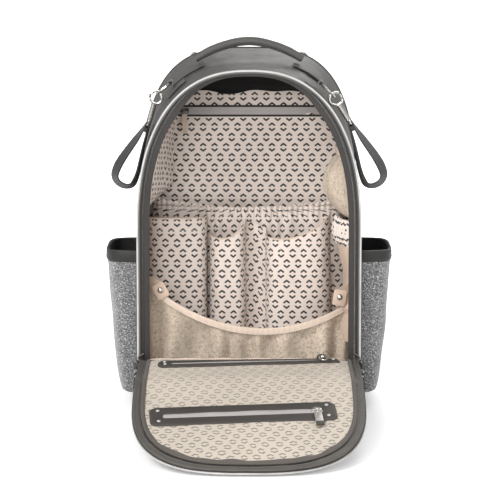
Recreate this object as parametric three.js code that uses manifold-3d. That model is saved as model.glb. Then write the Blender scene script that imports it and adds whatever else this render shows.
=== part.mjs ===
// Open-front diaper backpack, standing, with its front flap unzipped and laid forward on the floor.
// Millimetres, +Z up, +X to the right of someone facing the open front, +Y to the back of the bag.
// Inside the bag group, y = 0 is the plane of the front opening and z = 0 is the floor.
import * as THREE from 'three';
import Module from 'manifold-3d';
import { mergeVertices } from 'three/addons/utils/BufferGeometryUtils.js';

const wasm = await Module();
wasm.setup();

// ---- driving dimensions ----
const HALF_WIDTH = 143;        // body, side to side
const DEPTH = 186;             // body, front opening to back panel
const SPRING_Z = 230;          // height where the straight sides turn into the arched top
const FRONT_TOP_Z = 437;
const BACK_TOP_Z = 455;
const FOOT_HEIGHT = 8;
const WALL = 4;                // leather gusset thickness
const GAP = 0.3;               // between neighbouring pieces
const ORIGIN_SHIFT_Y = 67;     // puts the middle of the whole object at y = 0

const HINGE_Y = -2;            // fold at the foot of the opening
const HINGE_Z = 66;
const BEND_AT = 127;           // fold across the flap, from the hinge
const FLAP_LENGTH = 375;
const FLAP_SLOPE = THREE.MathUtils.degToRad(13.9);
const FLAP_THICKNESS = 6;
const FLAP_HALF_WIDTH = 133;

const HARDWARE_Y = 95;         // handle, in the middle of the top
const BACK_PANEL_THICKNESS = 14;

// ---- materials ----
const finish = (color, roughness, metalness = 0) =>
  new THREE.MeshStandardMaterial({ color, roughness, metalness });
const leather = () => finish('#5c5a57', 0.55);
const leatherDark = () => finish('#4a4846', 0.55);
const felt = () => finish('#8c8c8c', 0.95);
const print = () => finish('#cdbfb3', 0.85);
const mesh = () => finish('#d8c8b6', 0.9);
const tape = () => finish('#3a3938', 0.85);
const piping = () => finish('#c4c4c1', 0.4);
const webbing = () => finish('#2d2a2b', 0.9);
const metal = () => finish('#b8b5af', 0.3, 1);
const rubber = () => finish('#1e1e1e', 0.8);
const board = () => finish('#8a8478', 0.8);

// ---- geometry helpers ----
const v3 = (x, y, z) => new THREE.Vector3(x, y, z);
const range = (count) => Array.from({ length: count }, (_, i) => i);
const lerp = THREE.MathUtils.lerp;
const radians = THREE.MathUtils.degToRad;

// A closed body from points and triangles, with its faces turned outwards.
function closedBody(points, triangles) {
  let volume = 0;
  for (const [a, b, c] of triangles) {
    volume += points[a].dot(points[b].clone().cross(points[c]));
  }
  const index = triangles.flatMap(([a, b, c]) => (volume > 0 ? [a, b, c] : [a, c, b]));
  const geometry = new THREE.BufferGeometry();
  geometry.setAttribute('position', new THREE.Float32BufferAttribute(
    points.flatMap((p) => p.toArray()), 3));
  geometry.setIndex(index);
  return geometry;
}

// A body through a row of closed rings, each with the same number of points, closed at both ends.
function loftRings(rings) {
  const around = rings[0].length;
  const points = rings.flat();
  const triangles = [];
  for (let i = 0; i < rings.length - 1; i += 1) {
    for (let j = 0; j < around; j += 1) {
      const a = i * around + j;
      const b = i * around + ((j + 1) % around);
      triangles.push([a, b, b + around], [a, b + around, a + around]);
    }
  }
  for (const [first, ring] of [[0, rings[0]], [points.length - around, rings.at(-1)]]) {
    const centre = ring.reduce((sum, p) => sum.add(p), v3(0, 0, 0)).divideScalar(around);
    const hub = points.length;
    points.push(centre);
    for (let j = 0; j < around; j += 1) {
      const edge = [hub, first + ((j + 1) % around), first + j];
      triangles.push(first === 0 ? edge : [edge[0], edge[2], edge[1]]);
    }
  }
  return closedBody(points, triangles);
}

// A thin wall between two grids of points with the same rows and columns, closed round its edge.
function wallBody(outer, inner) {
  const rows = outer.length;
  const columns = outer[0].length;
  const points = [...outer.flat(), ...inner.flat()];
  const back = rows * columns;
  const at = (i, j) => i * columns + j;
  const triangles = [];
  const quad = (a, b, c, d) => triangles.push([a, b, c], [a, c, d]);
  for (let i = 0; i < rows - 1; i += 1) {
    for (let j = 0; j < columns - 1; j += 1) {
      quad(at(i, j), at(i, j + 1), at(i + 1, j + 1), at(i + 1, j));
      quad(back + at(i, j), back + at(i + 1, j), back + at(i + 1, j + 1), back + at(i, j + 1));
    }
  }
  for (let j = 0; j < columns - 1; j += 1) {
    quad(at(0, j), back + at(0, j), back + at(0, j + 1), at(0, j + 1));
    quad(at(rows - 1, j + 1), back + at(rows - 1, j + 1), back + at(rows - 1, j), at(rows - 1, j));
  }
  for (let i = 0; i < rows - 1; i += 1) {
    quad(at(i + 1, 0), back + at(i + 1, 0), back + at(i, 0), at(i, 0));
    quad(at(i, columns - 1), back + at(i, columns - 1),
      back + at(i + 1, columns - 1), at(i + 1, columns - 1));
  }
  return closedBody(points, triangles);
}

const box = (x0, x1, y0, y1, z0, z1) =>
  new THREE.BoxGeometry(x1 - x0, y1 - y0, z1 - z0)
    .translate((x0 + x1) / 2, (y0 + y1) / 2, (z0 + z1) / 2);

// A round section of the given radius along a list of points.
function tube(points, radius, steps, sides = 8) {
  const section = new THREE.Shape();
  section.absarc(0, 0, radius, 0, 2 * Math.PI);
  return new THREE.ExtrudeGeometry(section, {
    steps,
    curveSegments: sides / 2,
    extrudePath: new THREE.CatmullRomCurve3(points),
  });
}

function roundedRect(width, height, radius) {
  const shape = new THREE.Shape();
  const w = width / 2;
  const h = height / 2;
  shape.moveTo(-w + radius, -h);
  shape.lineTo(w - radius, -h);
  shape.absarc(w - radius, -h + radius, radius, -Math.PI / 2, 0);
  shape.lineTo(w, h - radius);
  shape.absarc(w - radius, h - radius, radius, 0, Math.PI / 2);
  shape.lineTo(-w + radius, h);
  shape.absarc(-w + radius, h - radius, radius, Math.PI / 2, Math.PI);
  shape.lineTo(-w, -h + radius);
  shape.absarc(-w + radius, -h + radius, radius, Math.PI, 1.5 * Math.PI);
  return shape;
}

const extrude = (shape, depth, curveSegments = 6) =>
  new THREE.ExtrudeGeometry(shape, { depth, bevelEnabled: false, curveSegments });

// A shape drawn in x and z, given thickness from yFront to yBack.
const standing = (shape, yFront, yBack, curveSegments) =>
  extrude(shape, yBack - yFront, curveSegments).rotateX(Math.PI / 2).translate(0, yBack, 0);

function solidOf(geometry) {
  const bare = geometry.clone();
  bare.deleteAttribute('normal');
  bare.deleteAttribute('uv');
  const merged = mergeVertices(bare, 1e-4);
  return new wasm.Manifold(new wasm.Mesh({
    numProp: 3,
    vertProperties: new Float32Array(merged.attributes.position.array),
    triVerts: new Uint32Array(merged.index.array),
  }));
}

function joined(...geometries) {
  const whole = geometries.map(solidOf).reduce((sum, next) => sum.add(next)).getMesh();
  const geometry = new THREE.BufferGeometry();
  geometry.setAttribute('position', new THREE.BufferAttribute(whole.vertProperties, 3));
  geometry.setIndex(new THREE.BufferAttribute(whole.triVerts, 1));
  return geometry;
}

// ---- the arched outline, which fills out from a round front to a squarer back ----
function archAt(y) {
  const back = THREE.MathUtils.smoothstep(y, 0, DEPTH);
  return {
    power: lerp(2.4, 3.1, back),
    rise: lerp(FRONT_TOP_Z, BACK_TOP_Z, back) - SPRING_Z,
  };
}

// Point of the arch at an angle from the right-hand spring line (0) over the top to the left (pi).
function archPoint(y, angle, inset) {
  const { power, rise } = archAt(y);
  const c = Math.cos(angle);
  const x = (HALF_WIDTH - inset) * Math.sign(c) * Math.abs(c) ** (2 / power);
  return v3(x, y, SPRING_Z + (rise - inset) * Math.sin(angle) ** (2 / power));
}

function halfWidthAt(y, z, inset) {
  const { power, rise } = archAt(y);
  const up = Math.max(0, z - SPRING_Z) / (rise - inset);
  return (HALF_WIDTH - inset) * (1 - Math.min(1, up) ** power) ** (1 / power);
}

// The whole line: up the right side, over the top and down the left side.
function archLine(y, bottomZ, inset, arcSteps = 28) {
  const side = HALF_WIDTH - inset;
  const arc = range(arcSteps + 1).map((i) => archPoint(y, (i / arcSteps) * Math.PI, inset));
  return [v3(side, y, bottomZ), ...arc, v3(-side, y, bottomZ)];
}

function archShape(y, bottomZ, inset, arcSteps) {
  return new THREE.Shape(archLine(y, bottomZ, inset, arcSteps)
    .map((p) => new THREE.Vector2(p.x, p.z)));
}

// ---- group and part list ----
const bag = new THREE.Group();
const object = new THREE.Group();
object.add(bag);
bag.position.y = ORIGIN_SHIFT_Y;

function part(name, geometry, material, parent = bag) {
  const piece = new THREE.Mesh(geometry, material);
  piece.name = name;
  parent.add(piece);
  return piece;
}

const SIDES = [['left', -1], ['right', 1]];
const mirrored = (geometry, side) => {
  if (side > 0) {
    return geometry;
  }
  const flipped = geometry.clone().scale(-1, 1, 1);
  const bare = flipped.index ? flipped : mergeVertices(flipped);
  const index = Array.from(bare.index.array);
  for (let i = 0; i < index.length; i += 3) {
    [index[i], index[i + 1]] = [index[i + 1], index[i]];
  }
  bare.setIndex(index);
  return bare;
};

// ---- body shell ----
const SHELL_FRONT_Y = 5 + GAP;
const SHELL_ROWS = [0, 0.2, 0.4, 0.6, 0.8, 1];
const LINING_Y = DEPTH - 4;     // front face of the back lining
const FLOOR_Z = 17;             // top of the base stack, where the inside pockets start

function shell() {
  const rows = SHELL_ROWS.map((t) => lerp(SHELL_FRONT_Y, DEPTH, t));
  part('gusset_shell', wallBody(
    rows.map((y) => archLine(y, FOOT_HEIGHT, 0)),
    rows.map((y) => archLine(y, FOOT_HEIGHT, WALL))), leather());
  part('front_wall', standing(frontWallShape(), 1, 5), leather());
  const inner = HALF_WIDTH - WALL - GAP;
  part('base_panel', box(-inner, inner, SHELL_FRONT_Y, DEPTH, FOOT_HEIGHT, 13.5), leather());
  part('base_board', box(-128, 128, 12, LINING_Y - 5, 13.8, 16.3), board());
  part('back_panel', standing(archShape(DEPTH, FOOT_HEIGHT, 0), DEPTH + GAP,
    DEPTH + GAP + BACK_PANEL_THICKNESS), leather());
  part('back_lining', standing(archShape(DEPTH, FLOOR_Z, WALL + 2), LINING_Y, LINING_Y + 2),
    print());
}

// The strip below the opening, with its lower corners rounded.
function frontWallShape() {
  const radius = 12;
  const top = HINGE_Z - 5;
  const shape = new THREE.Shape();
  shape.moveTo(-HALF_WIDTH, top);
  shape.lineTo(-HALF_WIDTH, FOOT_HEIGHT + radius);
  shape.absarc(-HALF_WIDTH + radius, FOOT_HEIGHT + radius, radius, Math.PI, 1.5 * Math.PI);
  shape.lineTo(HALF_WIDTH - radius, FOOT_HEIGHT);
  shape.absarc(HALF_WIDTH - radius, FOOT_HEIGHT + radius, radius, -Math.PI / 2, 0);
  shape.lineTo(HALF_WIDTH, top);
  return shape;
}

function feet() {
  const spots = [[-1, 0.18, 'front_left'], [1, 0.18, 'front_right'],
    [-1, 0.85, 'back_left'], [1, 0.85, 'back_right']];
  for (const [side, along, name] of spots) {
    const foot = new THREE.CylinderGeometry(10, 8.5, FOOT_HEIGHT - GAP, 20).rotateX(Math.PI / 2);
    part(`foot_${name}`, foot, rubber())
      .position.set(side * 112, along * DEPTH, (FOOT_HEIGHT - GAP) / 2);
  }
}

// ---- edge of the opening ----
const OPENING_FOOT_Z = HINGE_Z - 2;

function openingEdge() {
  const cord = archLine(2.7, OPENING_FOOT_Z, 0, 24);
  part('arch_piping', tube(cord, 2.3, 60, 8), piping());
  const outer = archLine(3, OPENING_FOOT_Z, 3.3);
  const inner = archLine(3, OPENING_FOOT_Z, 16);
  const step = (line) => line.map((p) => p.clone().setY(5));
  part('body_zip_tape', wallBody([outer, inner], [step(outer), step(inner)]), tape());
}

// The two sliders of the main zip, parked at the foot of the opening, each with its hanging pull.
function mainSliders() {
  const foot = HINGE_Z - 14;
  for (const [name, side] of SIDES) {
    const x = side * 145;
    part(`main_slider_${name}`, box(x - 4.5, x + 4.5, -5.5, -0.4, foot, foot + 14), metal());
    part(`main_pull_${name}`, box(x - 3.5, x + 3.5, -7.5, -5.8, foot - 26, foot + 4),
      leatherDark());
  }
}

// ---- side pockets of felt ----
const POCKET_FRONT_Y = 25;
const POCKET_BACK_Y = 155;
const POCKET_FOOT_Z = 17;
const FELT_TOP_Z = 190;
const RIM_TOP_Z = 203;

// How far the pocket stands out from the bag at a height.
function pocketReach(z) {
  const up = (z - POCKET_FOOT_Z) / (FELT_TOP_Z - POCKET_FOOT_Z);
  return 20 + 21 * Math.min(1, Math.max(0, up)) ** 0.45;
}

// Ring round the pocket at a height: straight against the bag, with rounded outer corners.
function pocketRing(z, inset, steps = 16) {
  const x0 = HALF_WIDTH + 0.6 + inset;
  const reach = pocketReach(z) - 2 * inset;
  const middle = (POCKET_FRONT_Y + POCKET_BACK_Y) / 2;
  const half = (POCKET_BACK_Y - POCKET_FRONT_Y) / 2 - inset;
  return range(steps + 1).map((i) => {
    const angle = lerp(-Math.PI / 2, Math.PI / 2, i / steps);
    const s = Math.sin(angle);
    return v3(x0 + reach * Math.cos(angle) ** 0.45, middle + half * Math.sign(s) * Math.abs(s) ** 0.6, z);
  });
}

function sidePockets() {
  const heights = [0, 0.04, 0.12, 0.3, 0.6, 1].map((t) => lerp(POCKET_FOOT_Z, FELT_TOP_Z, t));
  const skin = 2;
  const inside = heights.slice(1).reverse();
  const cup = loftRings([
    ...heights.map((z) => pocketRing(z, 0)),
    ...inside.map((z) => pocketRing(z, skin)),
  ]);
  const rim = loftRings([
    ...[FELT_TOP_Z + GAP, RIM_TOP_Z].map((z) => pocketRing(z, 0)),
  ]);
  const bore = loftRings([FELT_TOP_Z - 5, RIM_TOP_Z + 5].map((z) => pocketRing(z, skin + 1)));
  const band = solidOf(rim).subtract(solidOf(bore)).getMesh();
  const bandGeometry = new THREE.BufferGeometry();
  bandGeometry.setAttribute('position', new THREE.BufferAttribute(band.vertProperties, 3));
  bandGeometry.setIndex(new THREE.BufferAttribute(band.triVerts, 1));
  for (const [name, side] of SIDES) {
    part(`side_pocket_${name}`, mirrored(cup, side), felt());
    part(`pocket_rim_${name}`, mirrored(bandGeometry, side), leather());
  }
}

// ---- pockets inside ----
const GATHER_DEPTH = 30;
const BOTTLE_BACK_Y = LINING_Y - GATHER_DEPTH - 1.5;

// Plan line of a pocket that bulges forward between two points of a wall behind it.
function bulge(x0, x1, backY, depth, inset, steps = 16) {
  const middle = (x0 + x1) / 2;
  const half = (x1 - x0) / 2 - inset;
  return range(steps + 1).map((i) => {
    const angle = Math.PI * (1 - i / steps);
    const c = Math.cos(angle);
    const forward = (depth - inset) * Math.abs(Math.sin(angle)) ** 0.6;
    return v3(middle + half * Math.sign(c) * Math.abs(c) ** 0.6, backY - forward, 0);
  });
}

// A cloth wall that follows the bulge from the floor of the bag up to a top line.
function pocketWall(x0, x1, backY, depth, topZ, thickness = 1.8) {
  const grid = (inset) => [0, 0.5, 1].map((t) => bulge(x0, x1, backY, depth, inset)
    .map((p) => v3(p.x, p.y, lerp(FLOOR_Z, topZ(p.x), t))));
  return wallBody(grid(0), grid(thickness));
}

const scoop = (x0, z0, xLow, zLow, x1, z1) => (x) => {
  const side = x < xLow ? (x - xLow) / (x0 - xLow) : (x - xLow) / (x1 - xLow);
  return zLow + ((x < xLow ? z0 : z1) - zLow) * Math.min(1, side) ** 2;
};

function insidePockets() {
  part('gathered_pocket', pocketWall(-129, 129, LINING_Y - 0.5, GATHER_DEPTH,
    scoop(-129, 255, 0, 243, 129, 255)), print());
  const bottles = [
    ['left', -134, -56, () => 234],
    ['middle', -52, -4, scoop(-52, 212, -35, 207, -4, 227)],
    ['right', 22, 108, scoop(22, 209, 40, 206, 108, 238)],
  ];
  for (const [name, x0, x1, topZ] of bottles) {
    part(`bottle_pocket_${name}`, pocketWall(x0, x1, BOTTLE_BACK_Y, 40, topZ), print());
  }
  part('mesh_front_pocket', pocketWall(-134, 134, 62, 34,
    (x) => 95 + 48 * (Math.abs(x - 18) / 118) ** 2 * 0.8, 1.6), mesh());
}

// Cloth pockets on the side walls, above the bottle pockets.
function wallPockets() {
  const heights = [0, 0.25, 0.5, 0.75, 1].map((t) => lerp(242, 322, t));
  const across = range(9).map((i) => i / 8);
  const grid = (stand) => heights.map((z) => across.map((t) => {
    const y = lerp(40, 160, t);
    return v3(halfWidthAt(y, z, WALL) - stand - 14 * Math.sin(Math.PI * t), y, z);
  }));
  const pocket = wallBody(grid(0.5), grid(2));
  part('wall_pocket_left', mirrored(pocket, -1), print());
  part('wall_mesh_pocket_right', pocket, mesh());
}

// ---- zip of the back wall ----
const BACK_ZIP_Z = 371;

function backZip() {
  const face = LINING_Y - GAP;
  part('back_zip_tape', box(-95, 108, face - 1.2, face, BACK_ZIP_Z - 9, BACK_ZIP_Z + 9), tape());
  const front = face - 1.2 - GAP;
  part('back_zip_slider', box(-92, -80, front - 3.5, front, BACK_ZIP_Z - 4, BACK_ZIP_Z + 4), metal());
  part('back_zip_pull', box(-90, -82, front - 5.4, front - 3.8, BACK_ZIP_Z - 31, BACK_ZIP_Z), mesh());
}

// ---- carry handle and the tabs that hold it and the clip rings ----
function patchOnTop(fromAngle, toAngle, halfY, low, high) {
  const angles = range(7).map((i) => lerp(fromAngle, toAngle, i / 6));
  const rows = [HARDWARE_Y - halfY, HARDWARE_Y + halfY];
  const grid = (lift) => rows.map((y) => angles.map((a) => archPoint(y, a, -lift)));
  return wallBody(grid(high), grid(low));
}

const HANDLE_RADIUS = 5.4;
const HANDLE_LINE = [[70, 445.4], [61, 451], [49, 457.5], [33, 463.6], [15, 468.3], [0, 469.6]];

function handle() {
  const right = HANDLE_LINE.map(([x, z]) => v3(x, HARDWARE_Y, z));
  const left = right.slice(0, -1).map((p) => v3(-p.x, p.y, p.z)).reverse();
  part('handle', tube([...right, ...left], HANDLE_RADIUS, 28, 12), leather());
  const pad = patchOnTop(radians(54.5), radians(71), 15, 0.4, 2.6);
  for (const [name, side] of SIDES) {
    part(`handle_tab_${name}`, mirrored(pad, side), leather());
  }
}

// ---- stroller clips: ring, snap hook with its gate, and a loop of webbing ----
const WIRE = 1.7;
const RING_LENGTH = 28;
const HOOK_RADIUS = 8.2;
const BARREL_LENGTH = 24;
const LOOP_DOWN = 67;          // how steeply the webbing loop hangs, in degrees
const CLIPS = [
  { name: 'left', side: -1, top: [100, 60, 418], ringDown: 40, hookDown: 74 },
  { name: 'right', side: 1, top: [90.5, 20, 420.5], ringDown: 45, hookDown: 58 },
];

// Everything of a clip is drawn hanging along -Z from its own pivot, for the right-hand side.
function hookGeometry() {
  const opening = radians(30);
  const turn = range(13).map((i) => {
    const angle = lerp(opening, 2 * Math.PI - opening, i / 12);
    return v3(HOOK_RADIUS * Math.cos(angle), 0, HOOK_RADIUS * Math.sin(angle));
  });
  const bow = tube(turn, WIRE, 22, 8).translate(0, 0, -HOOK_RADIUS + WIRE + 2.4);
  const barrel = new THREE.CylinderGeometry(3.6, 3.6, BARREL_LENGTH, 12).rotateX(Math.PI / 2)
    .translate(0, 0, -2 * HOOK_RADIUS - BARREL_LENGTH / 2 + 3.8);
  return joined(bow, barrel);
}

function webLoopGeometry() {
  const outline = (grow) => {
    const shape = new THREE.Shape();
    shape.moveTo(-1.2 - grow, 0);
    shape.bezierCurveTo(-3 - grow, -40, -12 - grow, -58, -10 - grow, -80);
    shape.bezierCurveTo(-9 - grow, -90 - grow, 12 + grow, -91 - grow, 15 + grow, -78);
    shape.bezierCurveTo(18 + grow, -58, 5 + grow, -30, 1.2 + grow, 0);
    return shape;
  };
  const loop = outline(2);
  loop.holes.push(new THREE.Path(outline(0).getPoints(8).map((p) =>
    new THREE.Vector2(p.x, p.y * 0.985 - 1.2))));
  return extrude(loop, 25, 8).rotateX(Math.PI / 2).translate(0, 12.5, 0);
}

function clips() {
  for (const clip of CLIPS) {
    const top = v3(clip.side * clip.top[0], clip.top[1], clip.top[2]);
    const swing = (down) => -clip.side * radians(90 - down);
    const ring = new THREE.Group();
    ring.position.copy(top);
    ring.rotation.y = swing(clip.ringDown);
    bag.add(ring);
    const oval = new THREE.TorusGeometry(9, WIRE, 6, 20).rotateY(Math.PI / 2)
      .scale(1, 1, (RING_LENGTH / 2 - WIRE) / 9).translate(0, 0, -RING_LENGTH / 2 + WIRE);
    part(`clip_ring_${clip.name}`, oval, metal(), ring);

    const hook = new THREE.Group();
    const reach = RING_LENGTH - 2 * WIRE;
    hook.position.set(top.x + clip.side * reach * Math.cos(radians(clip.ringDown)), top.y,
      top.z - reach * Math.sin(radians(clip.ringDown)));
    hook.rotation.y = swing(clip.hookDown);
    bag.add(hook);
    part(`clip_hook_${clip.name}`, mirrored(hookGeometry(), clip.side), metal(), hook);
    const gate = new THREE.CylinderGeometry(1.4, 1.4, 5.4, 8).rotateX(Math.PI / 2)
      .translate(clip.side * 7.7, 0, -HOOK_RADIUS + WIRE + 2.4);
    part(`clip_gate_${clip.name}`, gate, metal(), hook);

    const loop = new THREE.Group();
    loop.position.set(0, 0, -2 * HOOK_RADIUS - BARREL_LENGTH + 3.8 - 1);
    loop.rotation.y = -clip.side * radians(clip.hookDown - LOOP_DOWN);
    hook.add(loop);
    part(`clip_loop_${clip.name}`, mirrored(webLoopGeometry(), clip.side), webbing(), loop);
  }
}

// ---- shoulder straps ----
const BACK_Y = DEPTH + GAP + BACK_PANEL_THICKNESS;
const STRAP_STAND = 13;        // middle of the strap's ends, behind the back panel
const STRAP_TOP = v3(56, BACK_Y + STRAP_STAND, 436);
const STRAP_FOOT = v3(106, BACK_Y + STRAP_STAND, 44);
const PAD_SHARE = 0.62;        // part of the strap's run that is padded

const STRAP_BOW = 18;          // how far the pad stands back from the line between its ends

// Point of the strap's middle line: a bowed pad, then straight webbing down to the foot.
function strapPoint(t) {
  const bow = (u) => STRAP_BOW * Math.sin((Math.PI * u) / 0.8) ** 0.8;
  const p = STRAP_TOP.clone().lerp(STRAP_FOOT, t);
  p.y += t < PAD_SHARE ? bow(t) : (bow(PAD_SHARE) * (1 - t)) / (1 - PAD_SHARE);
  return p;
}

function strapSlab(from, to, halfWidth, thickness, steps) {
  const across = STRAP_FOOT.clone().sub(STRAP_TOP).setY(0).normalize();
  const sideways = v3(-across.z, 0, across.x);
  const rings = range(steps + 1).map((i) => {
    const t = lerp(from, to, i / steps);
    const centre = strapPoint(t);
    const half = halfWidth(i / steps);
    return [[1, -0.5], [1, 0.5], [-1, 0.5], [-1, -0.5]].map(([w, h]) =>
      centre.clone().addScaledVector(sideways, w * half).add(v3(0, h * thickness, 0)));
  });
  return loftRings(rings);
}

function shoulderStraps() {
  part('strap_yoke', box(-88, 88, BACK_Y + GAP, BACK_Y + 3, 404, 432), leather());
  const padHalf = (t) => 14 + 17 * Math.min(1, 1.6 * Math.sin(Math.PI * t) ** 0.7);
  const pad = strapSlab(0, PAD_SHARE, padHalf, 11, 14);
  const web = strapSlab(PAD_SHARE + 0.002, 0.985, () => 12.5, 1.6, 8);
  const lock = adjuster();
  const tab = box(STRAP_FOOT.x - 15, STRAP_FOOT.x + 15, BACK_Y + GAP, BACK_Y + 3.2, 24, 56);
  for (const [name, side] of SIDES) {
    part(`shoulder_strap_${name}`, mirrored(pad, side), leather());
    part(`strap_web_${name}`, mirrored(web, side), webbing());
    part(`strap_adjuster_${name}`, mirrored(lock, side), rubber());
    part(`strap_tab_${name}`, mirrored(tab, side), leather());
  }
}

// Ladder buckle, a frame that the webbing passes through.
function adjuster() {
  const frame = roundedRect(34, 9, 2);
  frame.holes.push(new THREE.Path(roundedRect(27.5, 4.2, 0.6).getPoints(2)));
  const at = strapPoint(0.72);
  const ahead = strapPoint(0.74).sub(at).normalize();
  const sideways = v3(ahead.z, 0, -ahead.x).normalize();
  const outwards = new THREE.Vector3().crossVectors(ahead, sideways);
  const turn = new THREE.Matrix4().makeBasis(sideways, outwards, ahead);
  return extrude(frame, 18, 3).translate(0, 0, -9).applyMatrix4(turn)
    .translate(at.x, at.y, at.z);
}

// ---- front flap ----
// Both halves are drawn from their fold towards -Y, with the lined inner face at z = 0.
const FLAP_POWER = 3;
const PAD_HALF_WIDTH = 123;
const PAD_CREST_AT = 50;
const PAD_CREST = 8.671;
const PAD_SLOPE = Math.atan2(PAD_CREST, BEND_AT - PAD_CREST_AT);

function flapOutline(fromHinge, inset) {
  const spring = SPRING_Z - HINGE_Z;
  const rise = FLAP_LENGTH - spring - inset;
  const side = FLAP_HALF_WIDTH - inset;
  const arc = range(25).map((i) => {
    const angle = (i / 24) * Math.PI;
    const c = Math.cos(angle);
    return new THREE.Vector2(side * Math.sign(c) * Math.abs(c) ** (2 / FLAP_POWER),
      -(spring + rise * Math.sin(angle) ** (2 / FLAP_POWER)));
  });
  return [new THREE.Vector2(side, -fromHinge), ...arc, new THREE.Vector2(-side, -fromHinge)];
}

const lowerFlap = new THREE.Group();
lowerFlap.position.set(0, HINGE_Y, HINGE_Z);
bag.add(lowerFlap);
const upperFlap = new THREE.Group();
upperFlap.position.set(0, -BEND_AT, 0);
upperFlap.rotation.x = FLAP_SLOPE;
lowerFlap.add(upperFlap);
const nearFace = new THREE.Group();   // the sloping inner face of the lower half, from the bend
nearFace.position.set(0, -BEND_AT, 0);
nearFace.rotation.x = PAD_SLOPE;
lowerFlap.add(nearFace);

// The padding of the lower half stands highest a third of the way out and runs out at the bend.
function flapPanels() {
  const slab = box(-FLAP_HALF_WIDTH, FLAP_HALF_WIDTH, -BEND_AT, -4, -FLAP_THICKNESS, 0);
  const wedge = new THREE.Shape([
    new THREE.Vector2(-BEND_AT + 1, -1),
    new THREE.Vector2(-PAD_CREST_AT, PAD_CREST),
    new THREE.Vector2(-8, 4),
    new THREE.Vector2(-6, -1),
  ]);
  const padding = extrude(wedge, 2 * PAD_HALF_WIDTH).rotateY(Math.PI / 2).rotateX(Math.PI / 2)
    .translate(-PAD_HALF_WIDTH, 0, 0);
  part('flap_lower_panel', joined(slab, padding), leather(), lowerFlap);
  const shape = new THREE.Shape(flapOutline(BEND_AT + 2.5, 0)
    .map((p) => new THREE.Vector2(p.x, p.y + BEND_AT)));
  part('flap_upper_panel', extrude(shape, FLAP_THICKNESS).translate(0, 0, -FLAP_THICKNESS),
    leather(), upperFlap);
}

// The outer front pocket, a tray sewn to the outside of the flap, which lies on the floor.
function frontPocket() {
  const top = -FLAP_THICKNESS - GAP;
  const foot = -HINGE_Z + 0.4;
  const ring = (width, near, far, radius, z) => roundedRect(width, far - near, radius)
    .getPoints(3).slice(0, -1).map((p) => v3(p.x, p.y - (near + far) / 2, z));
  part('front_pocket', loftRings([
    ring(216, 22, 112, 14, foot),
    ring(232, 14, 120, 16, foot + 8),
    ring(236, 12, 122, 16, top),
    ring(230, 15, 119, 13, top),
    ring(226, 17, 117, 13, foot + 9),
    ring(210, 25, 109, 11, foot + 3),
  ]), leather(), lowerFlap);
}

// A zipped slot in the flap's lining: a leather plate with a slot, a slider and its pull.
function flapZip(name, parent, centreX, fromFold, turn, size, slideFrom, pullLength) {
  const place = new THREE.Group();
  place.position.set(centreX, -fromFold, 0);
  place.rotation.z = turn;
  parent.add(place);
  const [length, width] = size;
  const plate = roundedRect(length, width, 4);
  plate.holes.push(new THREE.Path(roundedRect(length - 34, 7, 3).getPoints(3)));
  part(`flap_zip_plate_${name}`, extrude(plate, 1.5).translate(0, 0, GAP), leatherDark(), place);
  const low = 1.8 + GAP;
  part(`flap_zip_slider_${name}`, box(slideFrom - 6, slideFrom + 6, -4, 4, low, low + 4),
    metal(), place);
  part(`flap_zip_pull_${name}`, box(slideFrom - 4.5, slideFrom + 4.5, -pullLength, 0,
    low + 4 + GAP, low + 6), metal(), place);
}

shell();
feet();
openingEdge();
mainSliders();
sidePockets();
insidePockets();
wallPockets();
backZip();
handle();
clips();
shoulderStraps();
flapPanels();
frontPocket();
flapZip('near', nearFace, 0, -71, radians(6), [229, 30], 92, 26);
flapZip('far', upperFlap, -7, 100, radians(4.5), [222, 48], 88, 40);

export default object;
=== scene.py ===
from math import copysign, cos, pi, radians, sin, sqrt
import bpy
import numpy as np
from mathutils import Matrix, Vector, noise


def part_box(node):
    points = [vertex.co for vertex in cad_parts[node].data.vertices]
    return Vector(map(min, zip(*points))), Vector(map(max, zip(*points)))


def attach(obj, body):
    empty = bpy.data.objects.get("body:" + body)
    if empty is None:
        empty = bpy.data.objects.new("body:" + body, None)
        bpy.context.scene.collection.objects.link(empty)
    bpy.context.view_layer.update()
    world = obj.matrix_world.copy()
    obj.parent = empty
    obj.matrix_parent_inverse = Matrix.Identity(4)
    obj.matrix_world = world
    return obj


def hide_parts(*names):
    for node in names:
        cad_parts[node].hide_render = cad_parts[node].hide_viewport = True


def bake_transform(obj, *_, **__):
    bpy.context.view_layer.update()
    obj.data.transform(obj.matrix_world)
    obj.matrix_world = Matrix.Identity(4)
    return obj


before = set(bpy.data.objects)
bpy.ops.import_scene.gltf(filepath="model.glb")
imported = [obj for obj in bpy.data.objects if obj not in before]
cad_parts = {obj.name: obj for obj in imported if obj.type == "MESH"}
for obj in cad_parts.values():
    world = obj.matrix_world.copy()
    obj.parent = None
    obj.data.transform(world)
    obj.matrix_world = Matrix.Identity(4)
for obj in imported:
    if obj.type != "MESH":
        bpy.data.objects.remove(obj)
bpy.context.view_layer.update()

# Shapes are written in millimetres with y = 0 at the front opening, as the bag is drawn.
MM = 0.001
OPENING_Y = 67.0
HALF = 143.0
DEPTH = 186.0
SPRING = 230.0
FLOOR_Z = 17.0
LINING_Y = 182.0
BACK_Y = 200.3
HARDWARE_Y = 95.0
SIDES = (("left", -1), ("right", 1))


# ---- small tools for points and meshes ----
def metres(points):
    out = np.array(points, float)
    out[..., 1] += OPENING_Y
    return out * MM


def local(point):
    return np.array(point, float) / MM - np.array([0, OPENING_Y, 0])


def unit(v):
    v = np.asarray(v, float)
    return v / np.maximum(np.linalg.norm(v, axis=-1, keepdims=True), 1e-9)


def smooth(t):
    t = np.clip(t, 0, 1)
    return t * t * (3 - 2 * t)


def lengths(p):
    return np.concatenate([[0], np.cumsum(np.linalg.norm(np.diff(p, axis=0), axis=1))])


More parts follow.
